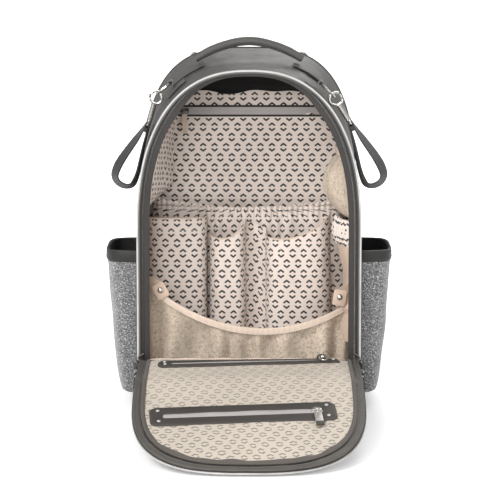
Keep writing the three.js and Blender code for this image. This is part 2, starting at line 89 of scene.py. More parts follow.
def resample(p, n):
    p = np.asarray(p, float)
    s = lengths(p)
    t = np.linspace(0, s[-1], n)
    return np.stack([np.interp(t, s, p[:, k]) for k in range(p.shape[1])], 1)


def rough_field(p, size, seed=0):
    """Smooth noise from -1 to 1 at each point."""
    shift = Vector((seed * 13.7, seed * 5.1, seed * 9.3))
    flat = np.asarray(p, float).reshape(-1, 3)
    return np.array([noise.noise(Vector(q) / size + shift) for q in flat]).reshape(p.shape[:-1])


def grid_faces(rows, columns, closed=False, start=0):
    i, j = np.meshgrid(np.arange(rows - 1), np.arange(columns - (not closed)), indexing="ij")
    a = start + i * columns + j
    b = start + i * columns + (j + 1) % columns
    return np.stack([a, b, b + columns, a + columns], -1).reshape(-1, 4).tolist()


def normals(grid):
    return unit(np.cross(np.gradient(grid, axis=1), np.gradient(grid, axis=0)))


def wall(a, b):
    """A thin closed body between two grids of points."""
    rows, columns = a.shape[:2]
    back = rows * columns
    faces = grid_faces(rows, columns)
    faces += [f[::-1] for f in grid_faces(rows, columns, start=back)]
    edge = [r * columns for r in range(rows)]
    for line, flip in ((list(range(columns)), 1), ([(rows - 1) * columns + j for j in range(columns)], 0),
                       (edge, 0), ([e + columns - 1 for e in edge], 1)):
        for p, q in zip(line, line[1:]):
            f = [p, q, back + q, back + p]
            faces.append(f[::-1] if flip else f)
    return np.concatenate([a.reshape(-1, 3), b.reshape(-1, 3)]), faces


def cloth(grid, thickness):
    n = normals(grid) * thickness / 2
    return wall(grid + n, grid - n)


def twice(uv):
    flat = np.asarray(uv, float).reshape(-1, 2)
    return np.concatenate([flat, flat])


def arc_uv(grid, fullness=1.0):
    """Cloth coordinates of a grid, measured along its rows and columns from its middle."""
    du = np.linalg.norm(np.diff(grid, axis=1), axis=2)
    dv = np.linalg.norm(np.diff(grid, axis=0), axis=2)
    u = np.concatenate([np.zeros((len(grid), 1)), np.cumsum(du, axis=1)], 1)
    u = (u - u[:, [u.shape[1] // 2]]) * fullness
    v = np.concatenate([np.zeros((1, grid.shape[1])), np.cumsum(dv, axis=0)], 0)
    return np.stack([u, v], -1)


def frames_along(path, up):
    t = unit(np.gradient(path, axis=0))
    side = unit(np.cross(t, np.broadcast_to(up, path.shape)))
    return t, side, np.cross(side, t)


def tube(path, radius, sides=10, up=(0, 1, 0), flat=1.0, closed=False):
    path = np.asarray(path, float)
    _, a, b = frames_along(path, up)
    r = np.broadcast_to(radius, len(path))[:, None, None]
    angle = np.linspace(0, 2 * pi, sides, endpoint=False)[None, :, None]
    co = path[:, None] + r * (np.cos(angle) * a[:, None]
                              + np.sin(angle) * b[:, None] * np.reshape(flat, (-1, 1, 1)))
    faces = grid_faces(len(path), sides, closed=True)
    last = (len(path) - 1) * sides
    if closed:
        faces += [[last + j, last + (j + 1) % sides, (j + 1) % sides, j] for j in range(sides)]
    else:
        faces += [list(range(sides))[::-1], [last + j for j in range(sides)]]
    return co.reshape(-1, 3), faces


def place(shape, at, x_axis, z_axis, scale=1.0):
    co, faces = shape
    x = unit(x_axis)
    y = unit(np.cross(z_axis, x))
    z = np.cross(x, y)
    c = np.asarray(co, float) * scale
    return np.asarray(at) + c[:, [0]] * x + c[:, [1]] * y + c[:, [2]] * z, faces


def strew(path, shape, pitch, up=(0, 1, 0)):
    """Copies of a small shape along a line, with x along it and z along up."""
    n = max(2, int(lengths(np.asarray(path))[-1] / pitch))
    pts = resample(path, n)
    ups = resample(np.asarray(up, float), n) if np.ndim(up) == 2 else np.broadcast_to(up, pts.shape)
    t = unit(np.gradient(pts, axis=0))
    return join(*[place(shape, p, q, w) for p, q, w in zip(pts, t, ups)])


def join(*shapes):
    co, faces, base = [], [], 0
    for c, f in shapes:
        co.append(np.asarray(c, float).reshape(-1, 3))
        faces += [[k + base for k in q] for q in f]
        base += len(co[-1])
    return np.concatenate(co), faces


def mirror(shape, side):
    if side > 0:
        return shape
    co = np.array(shape[0], float)
    co[:, 0] *= -1
    return co, [f[::-1] for f in shape[1]]


def revolve(profile, sides=16):
    """A turned shape from (radius, height) points, closed at both ends."""
    angle = np.linspace(0, 2 * pi, sides, endpoint=False)
    co = np.array([[r * cos(a), r * sin(a), z] for r, z in profile for a in angle])
    faces = grid_faces(len(profile), sides, closed=True)
    last = (len(profile) - 1) * sides
    return co, faces + [list(range(sides))[::-1], [last + j for j in range(sides)]]


def rounded(width, height, radius, n=6):
    """Corner-rounded rectangle, as a closed ring of (x, y)."""
    out = []
    for cx, cy, start in ((1, 1, 0), (-1, 1, 90), (-1, -1, 180), (1, -1, 270)):
        for a in np.radians(np.linspace(start, start + 90, n)):
            out.append([cx * (width / 2 - radius) + radius * cos(a),
                        cy * (height / 2 - radius) + radius * sin(a)])
    return np.array(out)


def slab(ring, low, high, bevel=0.4):
    """A flat plate with softened edges from a closed ring of (x, y)."""
    centre = ring.mean(0)
    reach = np.abs(ring - centre).max()
    small = centre + (ring - centre) * (1 - bevel / reach)
    layers = [(small, low), (ring, low + bevel), (ring, high - bevel), (small, high)]
    co = np.concatenate([np.column_stack([r, np.full(len(r), z)]) for r, z in layers])
    n = len(ring)
    faces = grid_faces(4, n, closed=True)
    return co, faces + [list(range(n))[::-1], [3 * n + j for j in range(n)]]


STITCH = (np.array([[1.25, 0, 0], [-1.25, 0, 0], [0, .42, 0], [0, -.42, 0], [0, 0, .4], [0, 0, -.3]]),
          [[0, 2, 4], [2, 1, 4], [1, 3, 4], [3, 0, 4], [2, 0, 5], [1, 2, 5], [3, 1, 5], [0, 3, 5]])
TOOTH = slab(rounded(1.0, 3.0, 0.4, 3), -0.6, 0.7, 0.25)


def tooth(*scale):
    return TOOTH[0] * scale, TOOTH[1]


RIVET = revolve([(0.6, -0.5), (2.5, -0.4), (2.6, 0.3), (2.1, 0.9), (1.2, 1.25), (0.4, 1.35)])


def settle(ob):
    """Applies an object's modifiers to its mesh."""
    graph = bpy.context.evaluated_depsgraph_get()
    ob.data = bpy.data.meshes.new_from_object(ob.evaluated_get(graph))
    ob.modifiers.clear()


def piece(name, shape, mat, body="root", slot=None, uv=None, level=0, hides=()):
    co, faces = shape
    me = bpy.data.meshes.new(name)
    me.from_pydata(metres(co).tolist(), [], faces)
    if uv is not None:
        layer = me.uv_layers.new(name="cloth")
        index = np.zeros(len(me.loops), int)
        me.loops.foreach_get("vertex_index", index)
        flat = np.asarray(uv, float).reshape(-1, 2)[index] * MM
        layer.data.foreach_set("uv", flat.ravel().astype(np.float32))
    me.materials.append(mat)
    ob = bpy.data.objects.new(name, me)
    bpy.context.scene.collection.objects.link(ob)
    if level:
        ob.modifiers.new("round", "SUBSURF").levels = level
        ob.modifiers["round"].render_levels = level
        bpy.context.view_layer.update()
        settle(ob)
    ob.data.shade_smooth()
    ob.data.set_sharp_from_angle(angle=radians(50))
    if body:
        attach(ob, body)
    slot = slot or SLOT_OF.get(mat.name, "leather")
    if hides:
        hides = [hides] if isinstance(hides, str) else hides
        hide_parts(*hides)
    return ob


def sewn(name, grid, thick, mat, body="root", slot=None, fullness=1.0, side=1, hides=()):
    """A sheet of cloth over a grid of points, with its own flat coordinates."""
    return piece(name, mirror(cloth(grid, thick), side), mat, body, slot,
                 uv=twice(arc_uv(grid, fullness)), hides=hides)


def stitches(name, line, pitch, up, thread=None, body="root", slot="leather", side=1):
    return piece(name, mirror(strew(line, STITCH, pitch, up), side), thread or THREAD, body, slot)


def repaint(node, mat):
    """Gives a kept CAD node its material."""
    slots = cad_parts[node].data.materials
    slots.clear()
    slots.append(mat)


# ---- materials ----
class Surface:
    """A Principled material with short names for the nodes that feed it."""

    def __init__(self, name, roughness=0.6, **values):
        self.material = bpy.data.materials.new(name)
        self.material.use_nodes = True
        self.tree = self.material.node_tree
        self.shader = self.tree.nodes["Principled BSDF"]
        self.shader.inputs["Roughness"].default_value = roughness
        for key, value in values.items():
            self.shader.inputs[key.replace("_", " ")].default_value = value
        self.place = self.node("TexCoord", out="Object")

    def node(self, kind, out=0, ins=None, **settings):
        n = self.tree.nodes.new("ShaderNode" + kind)
        for key, value in settings.items():
            setattr(n, key, value)
        for key, value in (ins or {}).items():
            if isinstance(value, bpy.types.NodeSocket):
                self.tree.links.new(value, n.inputs[key])
            else:
                n.inputs[key].default_value = value
        return n.outputs[out]

    def math(self, operation, a, b=0.0, c=0.0):
        return self.node("Math", ins={0: a, 1: b, 2: c}, operation=operation)

    def noise(self, scale, detail=3.0, roughness=0.5, vector=None, stretch=None):
        at = vector or self.place
        if stretch:
            at = self.node("Mapping", ins={"Vector": at, "Scale": stretch})
        return self.node("TexNoise", ins={"Vector": at, "Scale": scale, "Detail": detail,
                                          "Roughness": roughness})

    def cells(self, scale, out="Distance"):
        return self.node("TexVoronoi", out=out, ins={"Vector": self.place, "Scale": scale})

    def ramp(self, fac, *stops):
        n = self.tree.nodes.new("ShaderNodeValToRGB")
        while len(n.color_ramp.elements) < len(stops):
            n.color_ramp.elements.new(0.5)
        for element, (at, colour) in zip(n.color_ramp.elements, stops):
            element.position = at
            element.color = (*colour, 1) if np.ndim(colour) else (colour, colour, colour, 1)
        self.tree.links.new(fac, n.inputs[0])
        return n.outputs[0]

    def mix(self, fac, a, b, blend="MIX"):
        n = self.tree.nodes.new("ShaderNodeMix")
        n.data_type = "RGBA"
        n.blend_type = blend
        for socket, value in ((n.inputs[0], fac), (n.inputs[6], a), (n.inputs[7], b)):
            if isinstance(value, bpy.types.NodeSocket):
                self.tree.links.new(value, socket)
            else:
                socket.default_value = value if not np.ndim(value) else (*value, 1)
        return n.outputs[2]

    def mottled(self, colour, scale, low, high):
        """The colour in soft patches, from low to high times its value."""
        return self.ramp(self.noise(scale, 4), (0.3, scaled(colour, low)), (0.7, scaled(colour, high)))

    def axes(self, uv):
        return self.node("SeparateXYZ", ins={"Vector": uv}).node.outputs

    def bump(self, height, distance, strength=0.6, under=None):
        ins = {"Height": height, "Distance": distance, "Strength": strength}
        if under is not None:
            ins["Normal"] = under
        return self.node("Bump", ins=ins)

    def finish(self, colour, normal=None, **more):
        self.tree.links.new(colour, self.shader.inputs["Base Color"])
        if normal is not None:
            self.tree.links.new(normal, self.shader.inputs["Normal"])
        for key, value in more.items():
            self.tree.links.new(value, self.shader.inputs[key])
        return self.material


def scaled(colour, k):
    return tuple(min(1.0, c * k) for c in colour)


def leather(name, colour, roughness=0.5, grain=1.0):
    s = Surface(name, roughness, Specular_IOR_Level=0.3)
    pebble = s.cells(820 / grain)
    fine = s.noise(2600, 2)
    broad = s.noise(22, 4)
    wear = s.node("NewGeometry", out="Pointiness")
    c = s.ramp(broad, (0.25, scaled(colour, 0.84)), (0.5, colour), (0.78, scaled(colour, 1.16)))
    c = s.mix(s.ramp(pebble, (0.0, 0.0), (0.75, 0.32)), c, scaled(colour, 0.55))
    c = s.mix(s.ramp(wear, (0.52, 0.0), (0.6, 0.35)), c, scaled(colour, 1.9))
    height = s.math("MULTIPLY_ADD", fine, 0.3, s.math("SUBTRACT", 1.0, pebble))
    rough = s.math("MULTIPLY_ADD", s.noise(60, 3), 0.24, roughness - 0.12)
    return s.finish(c, s.bump(height, 0.00022, 0.55), Roughness=rough)


def felt(name):
    s = Surface(name, 0.95, Sheen_Weight=0.35, Sheen_Roughness=0.6, Specular_IOR_Level=0.2)
    speck = s.noise(520, 6, 0.75)
    fibre = s.noise(260, 5, 0.8, stretch=(1, 1, 3.2))
    both = s.math("ADD", s.math("MULTIPLY", speck, 0.6), s.math("MULTIPLY", fibre, 0.4))
    c = s.ramp(both, (0.42, (0.02, 0.02, 0.021)), (0.485, (0.085, 0.085, 0.087)),
               (0.525, (0.17, 0.17, 0.172)), (0.605, (0.60, 0.60, 0.60)))
    c = s.mix(s.ramp(s.noise(30, 3), (0.35, 0.0), (0.7, 0.2)), c, (0.2, 0.2, 0.2))
    return s.finish(c, s.bump(both, 0.0009, 0.8))


def weave(s, uv, pitch):
    """Height of a plain weave with this pitch, in metres."""
    k = 2 * pi / pitch
    a, b = (s.math("SINE", s.math("MULTIPLY", axis, k)) for axis in s.axes(uv)[:2])
    return s.math("MULTIPLY", a, b)


def chevrons(s, uv):
    """1 on the dark strokes of the lining print, 0 on its ground."""
    axes = s.axes(uv)
    u = s.math("MULTIPLY", axes[0], 1 / MM)
    v = s.math("MULTIPLY", axes[1], 1 / MM)
    row = s.math("FLOOR", s.math("DIVIDE", v, 13.7))
    odd = s.math("MULTIPLY", s.math("FLOORED_MODULO", row, 2.0), 7.7)
    a = s.math("FLOORED_MODULO", s.math("ADD", u, odd), 15.4)
    a = s.math("ABSOLUTE", s.math("SUBTRACT", a, 7.7))
    b = s.math("ABSOLUTE", s.math("SUBTRACT", s.math("FLOORED_MODULO", v, 13.7), 6.85))
    slope = s.math("MULTIPLY", s.math("SUBTRACT", b, s.math("SUBTRACT", 6.3, s.math("MULTIPLY", a, 0.75))),
                   0.8)
    d = s.math("MAXIMUM", s.math("SUBTRACT", a, 4.3), slope)
    inside = s.math("LESS_THAN", d, 0.0)
    stroke = s.math("GREATER_THAN", d, -2.3)
    gap = s.math("GREATER_THAN", b, 1.4)
    return s.math("MULTIPLY", s.math("MULTIPLY", inside, stroke), gap)


def printed(name, ground, ink):
    s = Surface(name, 0.82, Sheen_Weight=0.12, Specular_IOR_Level=0.3)
    uv = s.node("UVMap", uv_map="cloth")
    thread = weave(s, uv, 0.0007)
    base = s.mottled(ground, 14, 0.93, 1.05)
    base = s.mix(s.ramp(s.noise(900, 3), (0.4, 0.0), (0.7, 0.16)), base, scaled(ground, 0.72))
    worn = s.ramp(s.noise(700, 4), (0.3, 0.9), (0.5, 1.0))
    mark = s.math("MULTIPLY", chevrons(s, uv), worn)
    return s.finish(s.mix(mark, base, ink), s.bump(thread, 0.00016, 0.45))


def netting(name, colour, pitch=0.0021, clear=0.55):
    """Open knitted mesh: rows of small holes set half a step apart."""
    s = Surface(name, 0.75, Sheen_Weight=0.15, Specular_IOR_Level=0.3)
    uv = s.node("UVMap", uv_map="cloth")
    hole = mesh_holes(s, uv, pitch)
    # painted shade and light: stretched noise darkens and lightens the net in long streaks, standing in for
    # the shade and light on its folds
    c = s.ramp(s.noise(34, 4, stretch=(1, 1, 0.3)), (0.32, scaled(colour, 0.68)), (0.5, colour),
               (0.68, scaled(colour, 1.2)))
    c = s.mix(s.math("MULTIPLY", hole, 0.55), c, scaled(colour, 0.4))
    c = s.mix(s.ramp(s.noise(300, 4, 0.75), (0.5, 0.0), (0.58, 0.55)), c, (0.26, 0.22, 0.18))
    alpha = s.math("SUBTRACT", 1.0, s.math("MULTIPLY", hole, clear))
    return s.finish(c, s.bump(s.math("SUBTRACT", 1.0, hole), 0.0003, 0.6), Alpha=alpha)


def mesh_holes(s, uv, pitch):
    axes = s.axes(uv)
    k = pi / pitch
    a = s.math("SINE", s.math("MULTIPLY", s.math("ADD", axes[0], axes[1]), k))
    b = s.math("SINE", s.math("MULTIPLY", s.math("SUBTRACT", axes[0], axes[1]), k))
    m = s.math("ABSOLUTE", s.math("MULTIPLY", a, b))
    return s.node("MapRange", ins={0: m, 1: 0.35, 2: 0.6, 3: 0.0, 4: 1.0})


def flap_cloth(name):
    """Cream net over the printed lining, so the print shows faintly through it."""
    s = Surface(name, 0.8, Sheen_Weight=0.12, Specular_IOR_Level=0.3)
    uv = s.node("UVMap", uv_map="cloth")
    cream = (0.60, 0.525, 0.44)
    hole = mesh_holes(s, uv, 0.0023)
    axes = s.axes(uv)
    far = s.node("MapRange", ins={0: axes[1], 1: 0.10, 2: 0.33, 3: 0.62, 4: 1.0})
    turned = s.node("Mapping", ins={"Vector": uv, "Rotation": (0, 0, 0.14)})
    drift = s.node("TexNoise", out="Color", ins={"Vector": uv, "Scale": 26.0, "Detail": 2.0})
    drift = s.node("VectorMath", ins={0: drift, 1: (0.5, 0.5, 0.5)}, operation="SUBTRACT")
    drift = s.node("VectorMath", ins={0: drift, "Scale": 0.009}, operation="SCALE")
    moved = s.node("VectorMath", ins={0: turned, 1: drift}, operation="ADD")
    show = s.math("MULTIPLY", chevrons(s, moved), s.math("MULTIPLY", far,
                                                         s.math("MULTIPLY_ADD", hole, 0.7, 0.5)))
    c = s.mottled(cream, 16, 0.95, 1.05)
    c = s.mix(s.math("MULTIPLY", hole, 0.42), c, (0.40, 0.345, 0.29))
    c = s.mix(show, c, (0.07, 0.064, 0.06))
    return s.finish(c, s.bump(s.math("SUBTRACT", 1.0, hole), 0.0003, 0.6))


def ribbed(name, colour, pitch, roughness=0.7, axis=1, sheen=0.1):
    s = Surface(name, roughness, Sheen_Weight=sheen, Specular_IOR_Level=0.35)
    uv = s.node("UVMap", uv_map="cloth")
    axes = s.axes(uv)
    k = 2 * pi / pitch
    rib = s.math("MULTIPLY_ADD", s.math("SINE", s.math("MULTIPLY", axes[axis], k)), 0.5, 0.5)
    cross = s.math("MULTIPLY_ADD", s.math("SINE", s.math("MULTIPLY", axes[1 - axis], k * 0.5)), 0.5, 0.5)
    c = s.ramp(rib, (0.0, scaled(colour, 0.55)), (0.6, colour), (1.0, scaled(colour, 1.3)))
    c = s.mix(s.ramp(s.noise(35, 4), (0.35, 0.0), (0.75, 0.3)), c, scaled(colour, 0.65))
    return s.finish(c, s.bump(s.math("MULTIPLY_ADD", cross, 0.4, rib), 0.0003, 0.7))


def metal(name, colour, roughness=0.16):
    s = Surface(name, roughness, Metallic=1.0)
    c = s.mottled(colour, 90, 0.86, 1.0)
    rough = s.math("MULTIPLY_ADD", s.noise(900, 5, 0.7, stretch=(1, 6, 1)), 0.22, roughness - 0.08)
    return s.finish(c, s.bump(s.noise(350, 3), 0.00006, 0.25), Roughness=rough)


def moulded(name, colour, roughness=0.55, scale=1400.0, depth=0.00012):
    s = Surface(name, roughness, Specular_IOR_Level=0.45)
    c = s.mottled(colour, 40, 0.85, 1.12)
    rough = s.math("MULTIPLY_ADD", s.noise(120, 3), 0.2, roughness - 0.1)
    return s.finish(c, s.bump(s.noise(scale, 4), depth, 0.5), Roughness=rough)


LEATHER = leather("grey_leather", (0.078, 0.074, 0.070), 0.56)
LEATHER_DARK = leather("dark_leather", (0.024, 0.0225, 0.0215), 0.6)
RIM_LEATHER = leather("rim_leather", (0.022, 0.021, 0.020), 0.55)
FLAP_LEATHER = leather("flap_leather", (0.088, 0.080, 0.071), 0.6)
PLATE_LEATHER = leather("plate_leather", (0.058, 0.052, 0.047), 0.6, 0.8)
FELT = felt("heather_felt")
PRINT = printed("chevron_lining", (0.76, 0.665, 0.60), (0.03, 0.03, 0.032))
NET = netting("cream_net", (0.72, 0.60, 0.47), clear=0.72)
BEIGE = ribbed("beige_cloth", (0.62, 0.47, 0.37), 0.0009, 0.85)
ELASTIC = ribbed("beige_elastic", (0.70, 0.565, 0.46), 0.0016, 0.75, 0)
FLAP_CLOTH = flap_cloth("netted_lining")
BLACK_CLOTH = ribbed("black_lining", (0.012, 0.011, 0.011), 0.0008, 0.85, sheen=0.0)
TAPE = ribbed("grey_zip_tape", (0.040, 0.036, 0.034), 0.0012, 0.75)
TAPE_WARM = ribbed("warm_zip_tape", (0.105, 0.090, 0.078), 0.0012, 0.75)
TAPE_PALE = ribbed("pale_zip_tape", (0.46, 0.43, 0.42), 0.0012, 0.6)
PIPING = moulded("silver_piping", (0.43, 0.42, 0.41), 0.34, 700.0, 0.00008)
WEBBING = ribbed("charcoal_webbing", (0.016, 0.0145, 0.014), 0.0017, 0.62, 0)
NICKEL = metal("nickel", (0.52, 0.50, 0.47), 0.24)
SILVER = metal("satin_silver", (0.72, 0.70, 0.68), 0.42)
GUNMETAL = metal("gunmetal", (0.10, 0.097, 0.094), 0.28)
RUBBER = moulded("rubber", (0.022, 0.022, 0.022), 0.75, 900.0)
PLASTIC = moulded("black_plastic", (0.03, 0.03, 0.03), 0.42)
BOARD = ribbed("base_board_cloth", (0.42, 0.36, 0.31), 0.0012, 0.85)
THREAD = moulded("thread_grey", (0.2, 0.19, 0.18), 0.7, 2600.0)
THREAD_DARK = moulded("thread_dark", (0.05, 0.05, 0.05), 0.7, 2600.0)
THREAD_CREAM = moulded("thread_cream", (0.8, 0.73, 0.66), 0.7, 2600.0)

# The CAD material that each of these stands for. The rest, threads among them, stand for leather.
SLOT_OF = {m.name: slot for slot, materials in {
    "leather_dark": (PLATE_LEATHER,), "felt": (FELT,), "print_cloth": (PRINT, BLACK_CLOTH),
    "mesh_cloth": (NET, BEIGE, ELASTIC, FLAP_CLOTH),
    "zip_tape": (TAPE, TAPE_WARM, TAPE_PALE), "piping": (PIPING,), "webbing": (WEBBING,),
    "metal": (NICKEL, SILVER, GUNMETAL)}.items() for m in materials}


# ---- the arch that the whole bag is built on ----
def arch_shape(y):
    back = smooth(y / DEPTH)
    return 2.4 + 0.7 * back, 437 + 18 * back - SPRING


def arch_point(y, angle, inset=0.0):
    power, rise = arch_shape(y)
    c, s = cos(angle), sin(angle)
    x = (HALF - inset) * copysign(abs(c) ** (2 / power), c)
    return np.array([x, y, SPRING + (rise - inset) * max(s, 0.0) ** (2 / power)])


def arch_line(y, inset, z0, n):
    """From the left side at height z0, up and over to the right side."""
    arc = np.array([arch_point(y, a, inset) for a in np.linspace(pi, 0, 181)])
    rise = np.linspace(z0, SPRING, 30)[:-1]
    left = np.column_stack([np.full(29, -(HALF - inset)), np.full(29, y), rise])
    right = left[::-1] * [-1, 1, 1]
    return resample(np.concatenate([left, arc, right]), n)


def loop_line(y, inset, n):
    """The whole outline at depth y: the arch, the sides and the base with its round corners."""
    low = 8 + inset
    r = max(12 - inset, 3.0)
    turn = np.radians(np.linspace(270, 180, 8))
    corner = np.column_stack([-(HALF - inset) + r + r * np.cos(turn), np.full(8, y),
                              low + r + r * np.sin(turn)])
    start = np.array([[0, y, low]])
    line = [start, corner, arch_line(y, inset, low + r, 500)[1:-1], (corner * [-1, 1, 1])[::-1], start]
    return resample(np.concatenate(line), n)


def half_width(y, z, inset=0.0):
    power, rise = arch_shape(y)
    t = np.clip((np.asarray(z, float) - SPRING) / (rise - inset), 0, 1)
    return (HALF - inset) * (1 - t ** power) ** (1 / power)


def sag(grid, amount=2.0, seed=1):
    """Soft walls sink a little between their stiff edges and crease near them."""
    y = grid[..., 1]
    w = np.sin(np.pi * np.clip((y - 3) / (DEPTH - 6), 0, 1))
    crease = rough_field(grid * [0.4, 1, 1], 26, seed) + 0.5 * rough_field(grid, 11, seed + 1)
    centre = np.array([0, 0, 200.0])
    inward = unit((centre - grid) * [1, 0, 1])
    return grid + inward * (w * (amount + 1.3 * crease))[..., None]


def outer_shell():
    ys = np.concatenate([[1.6, 2.6, 4.5], np.linspace(8, 178, 34), [182.5, 185, 186.2]])
    rim = np.interp(ys, [1.6, 4.5, 182, 186.2], [1.6, 0, 0, 1.4])
    out = sag(np.array([loop_line(y, i, 300) for y, i in zip(ys, rim)]))
    inn = sag(np.array([loop_line(y, i + 2.0, 300) for y, i in zip(ys, rim)]))
    piece("body_gusset", wall(out, inn), LEATHER, hides=("gusset_shell", "base_panel"))
    for name, y in (("front", 9.0), ("back", 180.0)):
        edge = sag(np.array([arch_line(y, -0.25, 30, 500)]))[0]
        up = edge - np.array([0, y, 200.0])
        stitches(f"gusset_stitches_{name}", edge, 3.6, up)
    for y in (24.0, 26.5):
        line = sag(np.array([arch_line(y, -0.15, 30, 500)]))[0]
        up = line - np.array([0, y, 200.0])
        stitches(f"gusset_top_stitches_{'a' if y < 25 else 'b'}", line, 3.6, up, THREAD_DARK)
    back_edge = arch_line(186.4, 0.4, 20, 260)
    piece("back_edge_piping", tube(back_edge, 1.9, 8), LEATHER_DARK)
    front = arch_line(2.6, 0.9, 66, 300)
    piece("arch_piping_cord", tube(front, 1.45, 10), PIPING, hides="arch_piping")


def opening_line(y, inset, z0, n):
    """An arch line set in from the rim, lying flatter where it crosses the top."""
    upright = arch_line(y, inset, z0, n)
    lying = arch_line(y, inset * 0.5, z0, n)
    w = smooth((upright[:, 2] - 375) / 55)[:, None]
    line = upright * (1 - w) + lying * w
    line[:, 1] += 0.8 * inset * w[:, 0]
    return line


def edge_strip(name, inset0, inset1, y0, y1, swell, mat, slot, thick=1.0, hides=(), z0=64):
    rows = []
    for t in np.linspace(0, 1, 6):
        line = opening_line(y0 + (y1 - y0) * t - swell * sin(pi * t), inset0 + (inset1 - inset0) * t, z0, 300)
        rows.append(line)
    grid = np.array(rows)
    grid[..., 1] += 0.25 * rough_field(grid, 17, 3)
    return sewn(name, grid, thick, mat, slot=slot, hides=hides)


def opening_edge():
    edge_strip("opening_leather_edge", 2.2, 6.2, 3.0, 3.6, 0.9, LEATHER_DARK, "leather")
    edge_strip("opening_zip_tape", 8.6, 15.8, 4.0, 5.6, 0.3, TAPE, "zip_tape", 0.8, hides="body_zip_tape")
    edge_strip("opening_zip_bed", 5.6, 9.2, 4.8, 4.8, 0.0, BLACK_CLOTH, "zip_tape", 0.6)
    line = opening_line(3.9, 7.5, 64, 400)
    teeth = join(*[place(TOOTH, p, t, (0, -1, 0)) for p, t in
                   zip(resample(line, 620), unit(np.gradient(resample(line, 620), axis=0)))])
    piece("opening_zip_teeth", teeth, GUNMETAL, slot="zip_tape")


def front_wall():
    """The low leather strip under the opening, rounded at its foot."""
    rows = []
    for z in np.linspace(8.6, 60.8, 16):
        half = HALF - 0.6 - (12 - sqrt(max(144 - max(20 - z, 0) ** 2, 0)))
        rows.append([[half * k, 3.1, z] for k in np.linspace(-1, 1, 61)])
    grid = np.array(rows)
    grid[..., 1] += 0.5 * rough_field(grid, 30, 5)
    piece("front_wall_cover", cloth(grid, 3.4), LEATHER, uv=twice(grid[..., [0, 2]]), hides="front_wall")
    line = np.array([[x, 1.1, 56.0] for x in np.linspace(-138, 138, 160)])
    stitches("front_wall_stitches", line, 3.6, (0, -1, 0))


def back_panel():
    """Padded back with an outer rim, a sewn frame and cross channels."""
    outline = loop_line(186.4, 0.4, 320)[:, [0, 2]]
    centre = np.array([0, 232.0])
    ks = np.concatenate([1 - np.linspace(0, 1, 12)[:-1] ** 2 * 0.14, np.linspace(0.86, 0.01, 64)])
    flat = np.array([centre + (outline - centre) * k for k in ks])
    x, z = flat[..., 0], flat[..., 1]
    k = ks[:, None]
    puff = 13.2 * (1 - np.clip((k - 0.86) / 0.14, 0, 1) ** 2.4) ** 0.5
    seam = 3.6 * np.exp(-((k - 0.80) / 0.018) ** 2)
    inside = smooth((0.80 - k) / 0.05)
    for level in (110, 175, 240, 305, 370):
        seam = seam + inside * 3.0 * np.exp(-((z - level) / 4.5) ** 2)
    seam = seam + inside * 2.6 * np.exp(-(x / 5.0) ** 2)
    y = 186.5 + puff - seam + 0.5 * rough_field(np.stack([x, z, 0 * x], -1), 24, 7)
    y = np.minimum(y, BACK_Y)
    outer = np.stack([x, y, z], -1)
    inner = np.stack([x, np.full_like(x, 186.45), z], -1)
    ob = piece("back_panel_pad", wall(outer, inner), LEATHER, hides="back_panel")
    at = int(np.argmin(abs(ks - 0.80)))
    stitches("back_panel_stitches", outer[at] + [0, 0.5, 0], 3.8, (0, 1, 0))


def linings():
    def top(x):
        return 396.5 + 2.0 * sin(x / 17.0) + 1.6 * sin(x / 9.0 + 1.2)
    u = np.linspace(-1, 1, 81)
    t = np.linspace(0, 1, 90)
    grid = np.zeros((90, 81, 3))
    for j, q in enumerate(u):
        for i, w in enumerate(t):
            z = FLOOR_Z + w * (top(q * 110) - FLOOR_Z)
            grid[i, j] = [q * float(half_width(183, z, 7.0)), LINING_Y, z]
    grid[..., 1] += 0.9 * rough_field(grid, 45, 11) - 1.2 * np.exp(-((grid[..., 2] - 300) / 60) ** 2) * 0.5
    back = piece("back_lining_cloth", cloth(grid, 0.9), PRINT,
                 uv=twice(grid[..., [0, 2]]), hides="back_lining")
    # black cloth above the printed part
    rows = []
    for w in np.linspace(0, 1, 14):
        z = 394 + w * 52
        rows.append([[q * float(half_width(184, min(z, 448.5), 3.6)), 184.6, z] for q in u])
    upper = np.array(rows)
    upper[..., 1] -= 1.5 * np.abs(np.sin(upper[..., 2] / 7.0 + 0.6 * np.sin(upper[..., 0] / 31.0))) ** 2
    sheet = piece("upper_back_lining", cloth(upper, 0.8), BLACK_CLOTH, uv=twice(upper[..., [0, 2]]))
    ys = np.linspace(12, 184, 30)
    around = sag(np.array([arch_line(y, 3.5, 15, 240) for y in ys]))
    cut = int(np.argmax(around[15, :, 2] > 388))
    for name, part, mat in (("left", around[:, :cut + 1], PRINT), ("right", around[:, 239 - cut:], PRINT),
                            ("top", around[:, cut:240 - cut], BLACK_CLOTH)):
        uv = arc_uv(part)[..., ::-1]
        ob = piece(f"wall_lining_{name}", cloth(part, 0.8), mat, "root", "print_cloth", uv=twice(uv))
    base = np.array([[[x, y, 16.9] for x in np.linspace(-136, 136, 30)] for y in np.linspace(8, 181, 20)])
    base[..., 2] += 0.35 + 0.25 * rough_field(base, 40, 13)
    ob = piece("floor_lining", cloth(base, 0.5), PRINT, uv=twice(base[..., :2]))


# ---- felt pockets on the sides ----
def pocket_ring(z, inset=0.0, n=49):
    t = np.clip((z - 17) / 173, 0, 1)
    reach = 20 + 21 * t ** 0.45 - inset
    angle = np.radians(np.linspace(-90, 90, n))
    s, c = np.sin(angle), np.cos(angle)
    x = 143.4 + reach * np.abs(c) ** 0.45
    y = 90 + (65 - inset) * np.sign(s) * np.abs(s) ** 0.6
    return resample(np.column_stack([x, y, np.full(n, z)]), 61)


